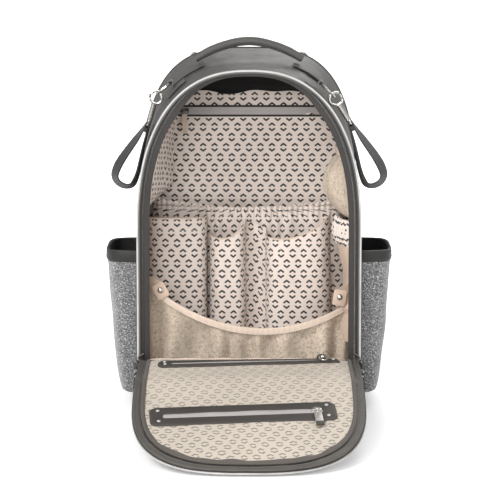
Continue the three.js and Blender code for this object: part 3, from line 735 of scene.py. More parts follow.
def side_pockets():
    for name, side in SIDES:
        rows = []
        for f in (0.05, 0.3, 0.6, 0.85, 0.95):
            ring = pocket_ring(17.0)
            ring[:, 0] = 143.4 + (ring[:, 0] - 143.4) * f
            ring[:, 1] = 90 + (ring[:, 1] - 90) * (0.3 + 0.7 * f)
            ring[:, 2] += 2.5 * (1 - f) + (0.3 if f < 0.9 else 1.0)
            rows.append(ring)
        rows += [pocket_ring(z) for z in np.concatenate([[20, 24, 30], np.linspace(38, 190, 26)])]
        felt_grid = np.array(rows)
        z = felt_grid[..., 2]
        give = np.sin(np.pi * np.clip((z - 20) / 170, 0, 1))
        buckle = 1.6 * rough_field(felt_grid, 34, 17 + side) - 0.8
        felt_grid[..., 0] += give * buckle * (felt_grid[..., 0] > 146)
        body = wall(felt_grid, felt_grid - normals(felt_grid) * 1.8 * np.sign(normals(felt_grid)[20, 30, 0]))
        piece(f"side_pocket_felt_{name}", mirror(body, side), FELT, hides=f"side_pocket_{name}")
        zs = (189.0, 190.5, 194, 198, 201.5, 203.2, 203.6, 202.5, 199)
        ins = (-0.2, -0.9, -1.2, -1.2, -1.0, -0.4, 0.9, 2.0, 2.4)
        band = np.array([pocket_ring(a, b) for a, b in zip(zs, ins)])
        band[..., 2] += 0.8 * rough_field(band * [1, 1, 0], 30, 5)
        piece(f"pocket_rim_band_{name}", mirror(cloth(band, 0.8), side), RIM_LEATHER,
              hides=f"pocket_rim_{name}")
        seam = pocket_ring(192.3, -1.7)
        up = np.column_stack([seam[:, 0] - 143, (seam[:, 1] - 90) * 0.5, 0 * seam[:, 0]])
        stitches(f"pocket_rim_stitches_{name}", seam, 3.4, up, THREAD_DARK, side=side)
        inner = np.array([pocket_ring(a, 2.9) for a in np.linspace(202.5, 26, 16)])
        sewn(f"side_pocket_lining_{name}", inner, 0.6, BLACK_CLOTH, slot="felt", side=side)
        for edge in (0, -1):
            line = felt_grid[5:, edge] + [0.6, 0, 0]
            piece(f"pocket_side_welt_{name}_{'front' if edge == 0 else 'back'}",
                  mirror(tube(line, 1.5, 8, up=(1, 0, 0)), side), LEATHER)


# ---- pockets inside ----
def bulge_line(x0, x1, back_y, depth, n=101):
    angle = np.linspace(pi, 0, 400)
    c, s = np.cos(angle), np.abs(np.sin(angle))
    x = (x0 + x1) / 2 + (x1 - x0) / 2 * np.sign(c) * np.abs(c) ** 0.6
    return resample(np.column_stack([x, back_y - depth * s ** 0.6]), n)


def scoop(x0, z0, x_low, z_low, x1, z1):
    def height(x):
        side = (x - x_low) / ((x0 if x < x_low else x1) - x_low)
        return z_low + ((z0 if x < x_low else z1) - z_low) * min(1.0, max(0.0, side)) ** 2
    return height


def bulge_grid(x0, x1, back_y, depth, top, rows=44, n=101):
    line = bulge_line(x0, x1, back_y, depth, n)
    ts = np.linspace(0, 1, rows)
    return np.array([[[x, y, FLOOR_Z + (top(x) - FLOOR_Z) * t] for x, y in line] for t in ts]), ts[:, None]


def cloth_pocket(name, grid, mat, slot, hides, fullness=1.0, trim=None, thick=1.0):
    uv = arc_uv(grid, fullness)
    ob = piece(name, cloth(grid, thick), mat, "root", slot, uv=twice(uv), hides=hides)
    if trim:
        hem = tube(grid[-1], 1.05, 8, up=(0, 0, 1))
        h = piece(f"{name}_hem", hem, trim, "root", slot)
        seam = grid[-4] - normals(grid)[-4] * 0.7 * np.sign(normals(grid)[-4][:, [1]])
        s = stitches(f"{name}_stitches", seam, 3.2, (0, -1, 0), THREAD_CREAM, slot=slot)
    return ob


def inside_pockets():
    top = scoop(-129, 255, 0, 243, 129, 255)
    grid, t = bulge_grid(-129, 129, LINING_Y - 0.7, 27, top, rows=70, n=301)
    u = np.linspace(0, 1, 301)[None, :]
    ends = np.sin(np.pi * u) ** 0.4
    ruffle = np.sin(2 * np.pi * (34 * u + 0.8 * np.sin(9 * u))) * np.exp(-((1 - t) / 0.055) ** 2) * 2.0
    folds = np.sin(2 * np.pi * (15 * u + 0.5 * np.sin(21 * u))) * smooth((t - 0.35) / 0.5) * 2.3
    folds *= 0.55 + 0.45 * np.sin(17 * u + 2)
    grid[..., 1] += (ruffle + folds) * ends
    grid[..., 2] += 1.6 * np.sin(2 * np.pi * 34 * u) * np.exp(-((1 - t) / 0.03) ** 2)
    cloth_pocket("gathered_pocket_cloth", grid, PRINT, "print_cloth", ("gathered_pocket",),
                 1.15, PRINT)
    bottles = (("left", -134, -56, lambda x: 234.0, 3),
               ("middle", -52, -4, scoop(-52, 212, -35, 207, -4, 227), 5),
               ("right", 22, 108, scoop(22, 209, 40, 206, 108, 238), 8))
    for name, x0, x1, height, seed in bottles:
        grid, t = bulge_grid(x0, x1, 150.5, 39, height)
        grid[..., 1] += 2.2 * rough_field(grid * [1, 1, 0.45], 30, seed) * smooth(t / 0.2)
        grid[..., 1] += 0.8 * rough_field(grid * [1, 1, 0.5], 11, seed + 1)
        cloth_pocket(f"bottle_pocket_cloth_{name}", grid, PRINT, "print_cloth", (f"bottle_pocket_{name}",),
                     1.0, ELASTIC)
    # the pleat between the middle and the right pocket
    zs = np.linspace(FLOOR_Z, 222, 40)
    pleat = np.array([[[x, 139 + 9 * cos((x - 9) / 14 * pi / 2), z + 4 * cos(x / 8)]
                       for x in np.linspace(-5, 23, 25)] for z in zs])
    ob = sewn("pocket_pleat", pleat, 0.9, PRINT)
    mesh_pocket()


def mesh_top(x):
    return 102 + 36.0 * ((x - 18) / 118) ** 2


def mesh_pocket():
    grid, t = bulge_grid(-134, 134, 62, 30, mesh_top, rows=60, n=221)
    u = np.linspace(0, 1, 221)[None, :]
    lines = 2 * np.pi * (8.5 * u + 0.35 * np.sin(13 * u))
    fold = np.sin(lines + 1.3 * (1 - t) * np.sin(7 * u + 1)) * (0.35 + 0.65 * np.abs(np.sin(5 * u + 0.7)))
    grid[..., 1] += fold * 9.0 * smooth((1 - t) / 0.25) * np.sin(np.pi * u) ** 0.5
    grid[..., 1] += 2.6 * rough_field(grid * [1, 1, 0.8], 26, 21) * smooth((1 - t) / 0.2)
    net = sewn("mesh_front_pocket_net", grid, 0.5, NET, fullness=1.1,
                hides="mesh_front_pocket")
    line = bulge_line(-134, 134, 62, 34.6, 221)
    band = np.array([[[x, y - 0.6, mesh_top(x) + d] for x, y in line] for d in (-8.0, -5, -2, 0.6)])
    band[1:3, :, 1] -= 0.5
    strap = sewn("mesh_pocket_elastic", band, 1.3, ELASTIC)
    for d in (-7.0, -0.6):
        seam = np.array([[x, y - 1.9, mesh_top(x) + d] for x, y in line])
        piece(f"mesh_pocket_stitches_{'low' if d < -3 else 'top'}",
                           strew(seam, STITCH, 3.0, (0, -1, 0)),
                           THREAD_CREAM, "root", "mesh_cloth")
    for name, cx, cz, lean in (("left", -114, 151, 0.5), ("right", 117, 142, -0.15)):
        ring = rounded(17, 21, 3)
        tab = slab(ring, -0.8, 0.8)
        y = 29.5 + 0.4
        ob = place(tab, (cx, y, cz), (cos(lean), 0, sin(lean)), (0, -1, 0))
        piece(f"mesh_pocket_tab_{name}", ob, BEIGE)
        snap = place(RIVET, (cx, y - 1.0, cz + 1), (1, 0, 0), (0, -1, 0), 1.5)
        piece(f"mesh_pocket_snap_{name}", snap, NICKEL, slot="mesh_cloth")
        strap_end = np.array([[cx, y, cz + 6], [cx * 1.08, y + 4, cz + 11],
                              [copysign(136, cx), y + 10, cz + 14]])
        ribbon = resample(strap_end, 12)
        g = np.array([ribbon + [0, 0, d] for d in (-6, -2, 2, 6)])
        sewn(f"mesh_pocket_anchor_{name}", g, 1.2, BEIGE)
    for name, at in (("left", 12), ("right", -13)):
        side = grid[:, at] + [0, -1.2, 0]
        g = np.array([side + [d, 0, 0] for d in (-3.5, 0, 3.5)])
        sewn(f"mesh_pocket_binding_{name}", g, 1.0, BEIGE)


def wall_pockets():
    def grid_of(z0, z1, y0, y1, stand, side, bow, rows=40, n=61):
        t = np.linspace(0, 1, rows)
        g = np.zeros((rows, n, 3))
        for i, w in enumerate(t):
            z = z0 + (z1 - z0) * w
            for j, q in enumerate(np.linspace(0, 1, n)):
                y = y0 + (y1 - y0) * q
                off = 1.0 + stand(w) * bow(q)
                g[i, j] = [side * (float(half_width(y, z, 4)) - off), y, z]
        return g, t[:, None]

    def round_bow(q):
        return sin(pi * q) ** 0.6

    def leaning(q):
        return q ** 1.1 * (1 - max(0.0, (q - 0.93) / 0.07) ** 2)

    # the left one hangs away from the wall towards the back, under a folded edge
    left, t = grid_of(236, 388, 18, 172, lambda w: 42 * float(smooth(w / 0.3)) - 10 * w, -1, leaning)
    left[..., 0] += 1.7 * rough_field(left * [1, 1, 0.6], 24, 31) * smooth(t / 0.2)
    ob = sewn("wall_pocket_cloth_left", left, 0.9, PRINT,
               hides="wall_pocket_left")
    right, t = grid_of(243, 324, 34, 166, lambda w: 13 + 27 * sin(pi * min(1, w * 1.02)) ** 0.7, 1, round_bow)
    u = np.linspace(0, 1, 61)[None, :]
    right[..., 0] += 1.5 * np.sin(2 * np.pi * 9 * u) * (smooth((0.3 - t) / 0.3) + smooth((t - 0.8) / 0.2))
    net = sewn("wall_mesh_pocket_net", right, 0.6, NET, fullness=1.1,
                hides="wall_mesh_pocket_right")
    band, _ = grid_of(323, 333, 34, 164, lambda w: 18.0, 1, round_bow, rows=5)
    top = sewn("wall_mesh_elastic", band, 1.4, ELASTIC)
    # below the net: a gathered printed band, then a plain beige panel with a fold at its foot
    band, t = grid_of(206, 241, 26, 158, lambda w: 22 + 5 * sin(pi * w), 1, round_bow, rows=24, n=161)
    u = np.linspace(0, 1, 161)[None, :]
    band[..., 0] += 2.0 * np.sin(2 * np.pi * (17 * u + 0.5 * np.sin(11 * u))) + 1.6 * rough_field(band, 7, 33)
    ob = sewn("gathered_wall_band", band, 0.9, PRINT, fullness=1.2)
    panel, t = grid_of(84, 208, 22, 116, lambda w: 19 + 5 * cos(2 * pi * (w - 0.1)), 1, round_bow, rows=60)
    panel[..., 0] += 1.8 * rough_field(panel * [1, 1, 0.4], 18, 35)
    panel[..., 0] -= 5.0 * np.exp(-((t - 0.36) / 0.035) ** 2)
    ob = sewn("beige_wall_panel", panel, 0.9, BEIGE)


# ---- zip sliders and pulls ----
def slider_shape(length, width, height):
    """A slider lying on z = 0 with x along the zip: a waisted body and a bridge over it."""
    xs = np.linspace(-0.5, 0.5, 9)
    wide = np.array([0.62, 0.78, 0.84, 0.86, 0.9, 0.98, 1.0, 0.9, 0.55]) * width / 2
    ring = np.concatenate([np.column_stack([xs * length, wide]), np.column_stack([xs * length, -wide])[::-1]])
    low = slab(ring, 0.0, height * 0.34, 0.3)
    high = slab(ring * 0.94, height * 0.48, height * 0.8, 0.3)
    post = slab(rounded(length * 0.3, width * 0.3, 0.6, 3), height * 0.3, height * 0.5, 0.1)
    bow = np.array([[x, 0, height * (0.78 + 0.42 * sqrt(max(0, 1 - (x / (length * 0.32)) ** 2)))]
                    for x in np.linspace(-length * 0.32, length * 0.32, 9)])
    return join(low, high, post, tube(bow, 0.75, 6, up=(0, 1, 0)))


def ring_shape(a, b, wire=0.8, n=24, sides=6):
    t = np.linspace(0, 2 * pi, n, endpoint=False)
    return tube(np.column_stack([a * np.cos(t), b * np.sin(t), 0 * t]), wire, sides, up=(0, 0, 1),
                closed=True)


def middle(node):
    low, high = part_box(node)
    return local((low + high) / 2), np.array(high - low) / MM


def back_zip():
    y = 181.2
    g = np.array([[[x, y - 0.1, 371 + d] for x in np.linspace(-94, 107, 90)]
                  for d in np.linspace(-5.6, 5.6, 5)])
    g[..., 1] += 0.25 * rough_field(g, 14, 41)
    sewn("back_zip_tape_cloth", g, 0.7, TAPE_PALE, hides="back_zip_tape")
    for name, z in (("low", 364.6), ("high", 377.4)):
        line = np.array([[x, y - 0.4, z] for x in np.linspace(-95, 108, 90)])
        g = np.array([line + [0, -0.5 * sin(pi * k), 2.2 * (k - 0.5)] for k in np.linspace(0, 1, 5)])
        sewn(f"back_zip_edge_{name}", g, 0.9, RIM_LEATHER, slot="zip_tape")
    line = np.array([[x, y - 0.75, 371.0] for x in np.linspace(-93, 106, 60)])
    piece("back_zip_teeth", strew(line, tooth(0.9, 0.55, 0.6), 1.7, (0, -1, 0)), TAPE_PALE)
    c, size = middle("back_zip_slider")
    s = place(slider_shape(11.5, 7.6, 3.2), (c[0], c[1] + 1.7, c[2]), (1, 0, 0), (0, -1, 0))
    piece("back_zip_slider_body", s, GUNMETAL, "back_slider", hides="back_zip_slider")
    c, size = middle("back_zip_pull")
    tab = np.array([[[c[0] + w * (3.4 - 0.6 * k), c[1] - 0.5 * sin(6 * k),
                      c[2] + size[2] / 2 - 4 - (size[2] - 5) * k]
                     for w in np.linspace(-1, 1, 7)] for k in np.linspace(0, 1, 16)])
    link = place(ring_shape(3.0, 3.2, 0.6), (c[0], c[1], c[2] + size[2] / 2 - 3), (1, 0, 0), (0, -1, 0))
    piece("back_zip_pull_link", link, GUNMETAL, "back_pull")
    sewn("back_zip_pull_cloth", tab, 1.3, ELASTIC, body="back_pull",
          hides="back_zip_pull")


def main_sliders():
    for name, _ in SIDES:
        c, _ = middle(f"main_slider_{name}")
        s = place(slider_shape(13.5, 7.4, 4.2), (c[0], c[1] + 2.4, c[2]), (0, 0, 1), (0, -1, 0))
        piece(f"main_slider_body_{name}", s, GUNMETAL, f"main_slider_{name}", hides=f"main_slider_{name}")
        c, size = middle(f"main_pull_{name}")
        rows = np.linspace(0, 1, 14)
        tab = np.array([[[c[0] + w * (2.9 - 0.6 * cos(pi * k)), c[1],
                          c[2] + size[2] / 2 - 6 - (size[2] - 7) * k]
                         for w in np.linspace(-1, 1, 7)] for k in rows])
        piece(f"main_pull_leather_{name}", cloth(tab, 1.5), LEATHER_DARK, f"main_pull_{name}",
              slot="leather_dark",
              hides=f"main_pull_{name}")
        link = place(ring_shape(1.8, 3.4, 0.5), (c[0], c[1], c[2] + size[2] / 2 - 4.6), (1, 0, 0), (0, -1, 0))
        rivet = place(RIVET, (c[0], c[1] - 0.8, c[2] + size[2] / 2 - 10), (1, 0, 0), (0, -1, 0), 0.7)
        piece(f"main_pull_link_{name}", join(link, rivet), NICKEL, f"main_pull_{name}")


# ---- carry handle, its tabs and the clips ----
def handle():
    pts = np.array([[70, 445.4], [61, 451], [49, 457.5], [33, 463.6], [15, 468.3], [0, 469.6]], float)
    line = np.concatenate([pts, (pts[:-1] * [-1, 1])[::-1]])
    dense = np.stack([np.interp(np.linspace(0, 10, 121), np.arange(11), line[:, k]) for k in (0, 1)], 1)
    for _ in range(14):
        dense[1:-1] = (dense[:-2] + 2 * dense[1:-1] + dense[2:]) / 4
    path = np.column_stack([dense[:, 0], np.full(121, HARDWARE_Y), dense[:, 1]])
    path = resample(path, 100)
    end = np.minimum(np.arange(100), np.arange(100)[::-1]) / 14
    wide = 5.4 + 1.2 * (1 - smooth(end))
    flat = 1.0 - 0.25 * (1 - smooth(end))
    wide = wide * (1 + 0.035 * rough_field(path, 9, 51))
    roll = tube(path, wide, 20, up=(0, 0, 1), flat=flat)
    ob = piece("carry_handle", roll, LEATHER, "handle", level=1, hides="handle")
    seam = path[12:-12] - [0, 0, 5.5]
    seam_line = tube(seam, 0.7, 6)
    piece("carry_handle_seam", seam_line, LEATHER_DARK, "handle")
    stitches("carry_handle_stitches", path[12:-12] + [0, -2.8, -4.9], 3.4, (0, -0.5, -0.9), body="handle")
    for name, side in SIDES:
        angles = np.radians(np.linspace(52.5, 73.5, 24))
        across = np.linspace(-1, 1, 15)
        grid = np.array([[arch_point(HARDWARE_Y + w * (15.5 - 4.5 * smooth((k - 0.75) / 0.25)), a, -0.9)
                          for w in across] for k, a in zip(np.linspace(0, 1, 24), angles)])
        grid = grid + unit(grid - [0, HARDWARE_Y, 230]) * (0.6 - 0.5 * (np.abs(across) ** 4)[None, :, None])
        piece(f"handle_tab_cover_{name}", mirror(cloth(grid, 1.5), side), LEATHER,
              hides=f"handle_tab_{name}")
        edge = np.concatenate([grid[1:, 1], grid[-2, 1:-1], grid[1:, -2][::-1]]) + [0, 0, 0.4]
        stitches(f"handle_tab_stitches_{name}", edge, 3.2, (0.5, 0, 0.86), side=side)


def bezier(p0, p1, p2, p3, n=30):
    t = np.linspace(0, 1, n)[:, None]
    p0, p1, p2, p3 = (np.array(p, float) for p in (p0, p1, p2, p3))
    return (1 - t) ** 3 * p0 + 3 * (1 - t) ** 2 * t * p1 + 3 * (1 - t) * t ** 2 * p2 + t ** 3 * p3


CLIPS = {"left": (-1, (-100, 60, 418), (-129.2, 60, 366.0), 40, 74),
         "right": (1, (90.5, 20, 420.5), (127.8, 20, 371.2), 45, 58)}


def clips():
    for name, (side, top, eye, ring_down, _) in CLIPS.items():
        for part in ("ring", "hook", "gate"):
            repaint(f"clip_{part}_{name}", NICKEL)
        d = radians(68)
        down = np.array([side * cos(d), 0, -sin(d)])
        out = np.array([side * sin(d), 0, cos(d)])
        mid = np.concatenate([bezier((-2.2, 0), (-4, -40), (-13, -58), (-11, -80)),
                              bezier((-11, -80), (-10, -91), (13, -92), (16, -78))[1:],
                              bezier((16, -78), (19, -58), (6, -30), (2.2, 0))[1:]])
        mid = resample(mid, 110)
        path = np.array(eye) + mid[:, [0]] * out - mid[:, [1]] * down
        t = np.linspace(0, 1, 110)
        turn = np.radians(np.interp(t, [0, 0.1, 0.34, 0.5, 0.66, 0.86, 1], [0, -4, -10, -22, -24, -16, 0]))
        tangent = unit(np.gradient(path, axis=0))
        face = np.cross(tangent, [0, 1, 0])
        wide = np.cos(turn)[:, None] * np.array([0, 1, 0]) + side * np.sin(turn)[:, None] * face
        grid = np.array([path + wide * w for w in np.linspace(-11.9, 11.9, 9)])
        piece(f"clip_web_{name}", cloth(grid, 1.7), WEBBING, f"loop_{name}",
              uv=twice(arc_uv(grid)), hides=f"clip_loop_{name}")
        collar = place(slab(rounded(7, 25.5, 2.4), -3.2, 3.2, 0.6), np.array(eye) + down * 9, out, down)
        piece(f"clip_web_collar_{name}", collar, LEATHER_DARK, f"loop_{name}", slot="webbing")
        swivel = place(ring_shape(3.2, 13.6, 1.3), np.array(eye) + down * 1.2, down, out)
        piece(f"clip_swivel_{name}", swivel, NICKEL, f"loop_{name}")
        r = radians(ring_down)
        along = np.array([side * cos(r), 0, -sin(r)])
        keeper = np.array([[np.array(top) + along * (3.2 * cos(a) + 1.2)
                            + np.cross(along, [0, 1, 0]) * 3.4 * sin(a) + [0, w, 0]
                            for w in np.linspace(-7, 7, 7)]
                           for a in np.linspace(-pi * 0.95, pi * 0.95, 24)])
        piece(f"ring_keeper_{name}", cloth(keeper, 1.5), LEATHER)
        near = np.array([arch_point(top[1], a, -1.3) for a in np.radians(np.linspace(30, 75, 91))])
        start = radians(30 + 0.5 * int(np.argmin(abs(near[:, 0] - abs(top[0])))))
        root = np.array([[arch_point(top[1] + w, a, -1.3) for w in np.linspace(-7, 7, 7)]
                         for a in np.linspace(start - 0.06, start + 0.16, 12)])
        piece(f"ring_keeper_root_{name}", mirror(cloth(root, 1.6), side), LEATHER)


# ---- shoulder straps ----
STRAP_TOP = np.array([56, BACK_Y + 13, 436.0])
STRAP_FOOT = np.array([106, BACK_Y + 13, 44.0])


def strap_point(t):
    def bow(u):
        return 18 * sin(pi * u / 0.8) ** 0.8 if u > 0 else 0.0
    p = STRAP_TOP + (STRAP_FOOT - STRAP_TOP) * t
    p[1] += bow(t) if t < 0.62 else bow(0.62) * (1 - t) / 0.38
    return p


def inflate(ob, voxel, pressure, cap, frames=20):
    """Blows a closed mesh up a little as cloth, with no point moving further than cap."""
    scene = bpy.context.scene
    m = ob.modifiers.new("remesh", "REMESH")
    m.mode = "VOXEL"
    m.voxel_size = voxel
    bpy.context.view_layer.update()
    settle(ob)
    rest = np.array([v.co for v in ob.data.vertices])
    c = ob.modifiers.new("cloth", "CLOTH")
    c.settings.quality = 6
    c.settings.use_pressure = True
    c.settings.uniform_pressure_force = pressure
    c.settings.effector_weights.gravity = 0
    c.settings.tension_stiffness = 25
    c.settings.compression_stiffness = 25
    c.point_cache.frame_start = 1
    c.point_cache.frame_end = frames
    for f in range(1, frames + 1):
        scene.frame_set(f)
    settle(ob)
    scene.frame_set(1)
    now = np.array([v.co for v in ob.data.vertices])
    move = now - rest
    far = np.linalg.norm(move, axis=1, keepdims=True)
    move *= np.minimum(1, cap / np.maximum(far, 1e-9))
    ob.data.vertices.foreach_set("co", (rest + move).ravel().astype(np.float32))
    s = ob.modifiers.new("round", "SUBSURF")
    s.levels = s.render_levels = 1
    bpy.context.view_layer.update()
    settle(ob)
    return ob


def shoulder_straps():
    run = unit((STRAP_FOOT - STRAP_TOP) * [1, 0, 1])
    sideways = np.array([-run[2], 0, run[0]])
    for name, side in SIDES:
        ts = np.linspace(0.004, 0.616, 60)
        centre = np.array([strap_point(t) for t in ts])
        q = np.linspace(0, 1, 60)
        half = 14 + 17 * np.minimum(1, 1.6 * np.sin(np.pi * q) ** 0.7)
        end = np.minimum(1, np.minimum(q, 1 - q) / 0.03) ** 0.5
        angle = np.linspace(0, 2 * pi, 28, endpoint=False)
        c, s = np.cos(angle), np.sin(angle)
        rx = np.sign(c) * np.abs(c) ** 0.55
        ry = np.sign(s) * np.abs(s) ** 0.8
        rings = np.array([p + np.outer(rx * (h - 1.5) * (0.6 + 0.4 * e), sideways)
                          + np.outer(ry * 4.4 * e, [0, 1, 0])
                          for p, h, e in zip(centre, half, end)])
        faces = grid_faces(60, 28, closed=True) + [list(range(28))[::-1], [59 * 28 + j for j in range(28)]]
        ob = piece(f"shoulder_pad_{name}", mirror((rings.reshape(-1, 3), faces), side), LEATHER, None)
        inflate(ob, 0.005, 4.0, 0.0016)
        ob.data.shade_smooth()
        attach(ob, f"strap_{name}")
        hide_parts(f"shoulder_strap_{name}")
        for edge, w in (("inner", -1), ("outer", 1)):
            line = centre[1:-1] + np.outer(w * (half[1:-1] - 0.9), sideways)
            piece(f"strap_binding_{edge}_{name}", mirror(tube(line, 1.5, 8), side), LEATHER_DARK,
                  f"strap_{name}")
        band = np.array([centre[2:-2] + sideways * w + [0, 5.9, 0] for w in np.linspace(-9.5, 9.5, 5)])
        sewn(f"strap_pad_webbing_{name}", band, 1.2, WEBBING, body=f"strap_{name}", side=side)
        for w in (-8, 8):
            line = centre[3:-3] + sideways * w + [0, 6.7, 0]
            piece(f"strap_stitches_{'in' if w < 0 else 'out'}_{name}",
                  mirror(strew(line, STITCH, 3.6, (0, 1, 0)), side),
                  THREAD_DARK, f"strap_{name}", "webbing")
        low = np.array([strap_point(t) for t in np.linspace(0.605, 0.985, 50)])
        web = np.array([low + sideways * w for w in np.linspace(-12.4, 12.4, 7)])
        web[..., 1] += 0.5 * rough_field(web, 30, 61)
        sewn(f"shoulder_web_{name}", web, 1.5, WEBBING, body=f"strap_{name}", side=side,
             hides=f"strap_web_{name}")
        tab = np.array([[[106 + w * 15, BACK_Y + 1.7 + 0.4 * cos(w * 1.5), z] for w in np.linspace(-1, 1, 9)]
                        for z in np.linspace(24.5, 55.5, 9)])
        piece(f"strap_tab_cover_{name}", mirror(cloth(tab, 2.2), side), LEATHER,
              hides=f"strap_tab_{name}")
        box = np.array([[106 + a, BACK_Y + 3.4, 40 + b] for a, b in rounded(25, 26, 2)])
        piece(f"strap_tab_stitches_{name}", mirror(strew(np.vstack([box, box[:1]]), STITCH, 3.2, (0, 1, 0)),
                                                   side),
              THREAD)
        knot = np.array([strap_point(0.985), [106, BACK_Y + 8, 42], [106, BACK_Y + 3.6, 45]])
        fold = np.array([resample(knot, 12) + sideways * w for w in np.linspace(-12.4, 12.4, 5)])
        sewn(f"strap_foot_web_{name}", fold, 1.5, WEBBING, side=side)
        ring = place(ring_shape(6.5, 8.5, 1.3), (72, 196, 440), (1, 0, 0), (0, -1, 0.3))
        piece(f"top_ring_{name}", mirror(ring, side), NICKEL)
        root = np.array([[[72 + w * 8, 197.5 - 2.0 * k, 428 + 12 * k] for w in np.linspace(-1, 1, 5)]
                         for k in np.linspace(0, 1, 6)])
        piece(f"top_ring_strap_{name}", mirror(cloth(root, 1.8), side), LEATHER_DARK)
        repaint(f"strap_adjuster_{name}", PLASTIC)
    yoke = np.array([[[x, BACK_Y + 1.7 + 0.5 * cos(x / 9.0) * 0.3, z] for x in np.linspace(-88, 88, 60)]
                     for z in np.linspace(404.4, 431.6, 9)])
    yoke[..., 1] += 0.35 * np.cos((yoke[..., 2] - 418) / 13.6 * 1.4)
    piece("strap_yoke_cover", cloth(yoke, 2.1), LEATHER, hides="strap_yoke")
    for z in (407.5, 428.5):
        line = np.array([[x, BACK_Y + 3.2, z] for x in np.linspace(-85, 85, 80)])
        stitches(f"strap_yoke_stitches_{'low' if z < 415 else 'high'}", line, 3.4, (0, 1, 0))


# ---- the flap ----
FLAP_HALF = 139.5
FLAP_LONG = 369.0
FLAP_SPRING = 164.0
BEND = radians(13.9)
S_TABLE = np.arange(-10, 400, 0.5)
A_TABLE = BEND * smooth((S_TABLE - 115) / 24)
Y_TABLE = -2 - (-10) - np.concatenate([[0], np.cumsum(np.cos(A_TABLE) * 0.5)[:-1]])
Z_TABLE = 66 - np.concatenate([[0], np.cumsum(np.sin(A_TABLE) * 0.5)[:-1]])


def flap_at(x, s, h):
    """A point on the flap: x across, s from the hinge towards the tip, h above its inner face."""
    x, s, h = np.broadcast_arrays(np.asarray(x, float), np.asarray(s, float), np.asarray(h, float))
    a = np.interp(s, S_TABLE, A_TABLE)
    return np.stack([x, np.interp(s, S_TABLE, Y_TABLE) - np.sin(a) * h,
                     np.interp(s, S_TABLE, Z_TABLE) + np.cos(a) * h], -1)


def flap_height(x, s):
    x, s = np.asarray(x, float), np.asarray(s, float)
    rise = smooth(s / 9) * (3.2 + 4.6 * smooth((s - 6) / 44))
    pad = np.minimum(rise, 12.5 * np.clip((127 - s) / 111, 0, 1))
    pad = pad * (1 - smooth((np.abs(x) - 108) / 26))
    dome = smooth((s - 80) / 45) * (1 - smooth((s - 325) / 38))
    return pad + 1.8 * (1 - (x / 140) ** 2) * dome


def flap_outline(side, tip, n=320, s0=3.5):
    angle = np.linspace(pi, 0, 241)
    c, s = np.cos(angle), np.sin(angle).clip(0)
    x = (FLAP_HALF - side) * np.sign(c) * np.abs(c) ** (2 / 3)
    v = FLAP_SPRING + (FLAP_LONG - FLAP_SPRING - tip) * s ** (2 / 3)
    ends = np.linspace(s0, FLAP_SPRING, 30)[:-1]
    left = np.column_stack([np.full(29, -(FLAP_HALF - side)), ends])
    return resample(np.concatenate([left, np.column_stack([x, v]), left[::-1] * [-1, 1]]), n)


def flap_ring(side, tip, lift, n=320, low=None):
    line = flap_outline(side, tip, n)
    h = flap_height(line[:, 0], line[:, 1]) + lift if low is None else np.full(n, low)
    return flap_at(line[:, 0], line[:, 1], h), line


def flap_fill(side, tip, height, rows=40):
    """Grid from the outline to the middle line of the flap, with its flat coordinates."""
    line = flap_outline(side, tip)
    spine = np.column_stack([0 * line[:, 0], np.minimum(line[:, 1], 262)])
    flat = np.array([line + (spine - line) * k for k in np.linspace(0, 1, rows) ** 0.85])
    return flap_at(flat[..., 0], flat[..., 1], height(flat[..., 0], flat[..., 1])), flat


def bend_flap(ob):
    a, b = flap_at(0, 112, 0), flap_at(0, 142, 0)
    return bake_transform(ob, "flap_lower", "flap_upper", start=tuple(metres(a)), end=tuple(metres(b)))


def flap_piece(name, shape, mat, slot=None, uv=None, hides=()):
    """A soft piece of the flap."""
    return bend_flap(piece(name, shape, mat, None, slot, uv, hides=hides))


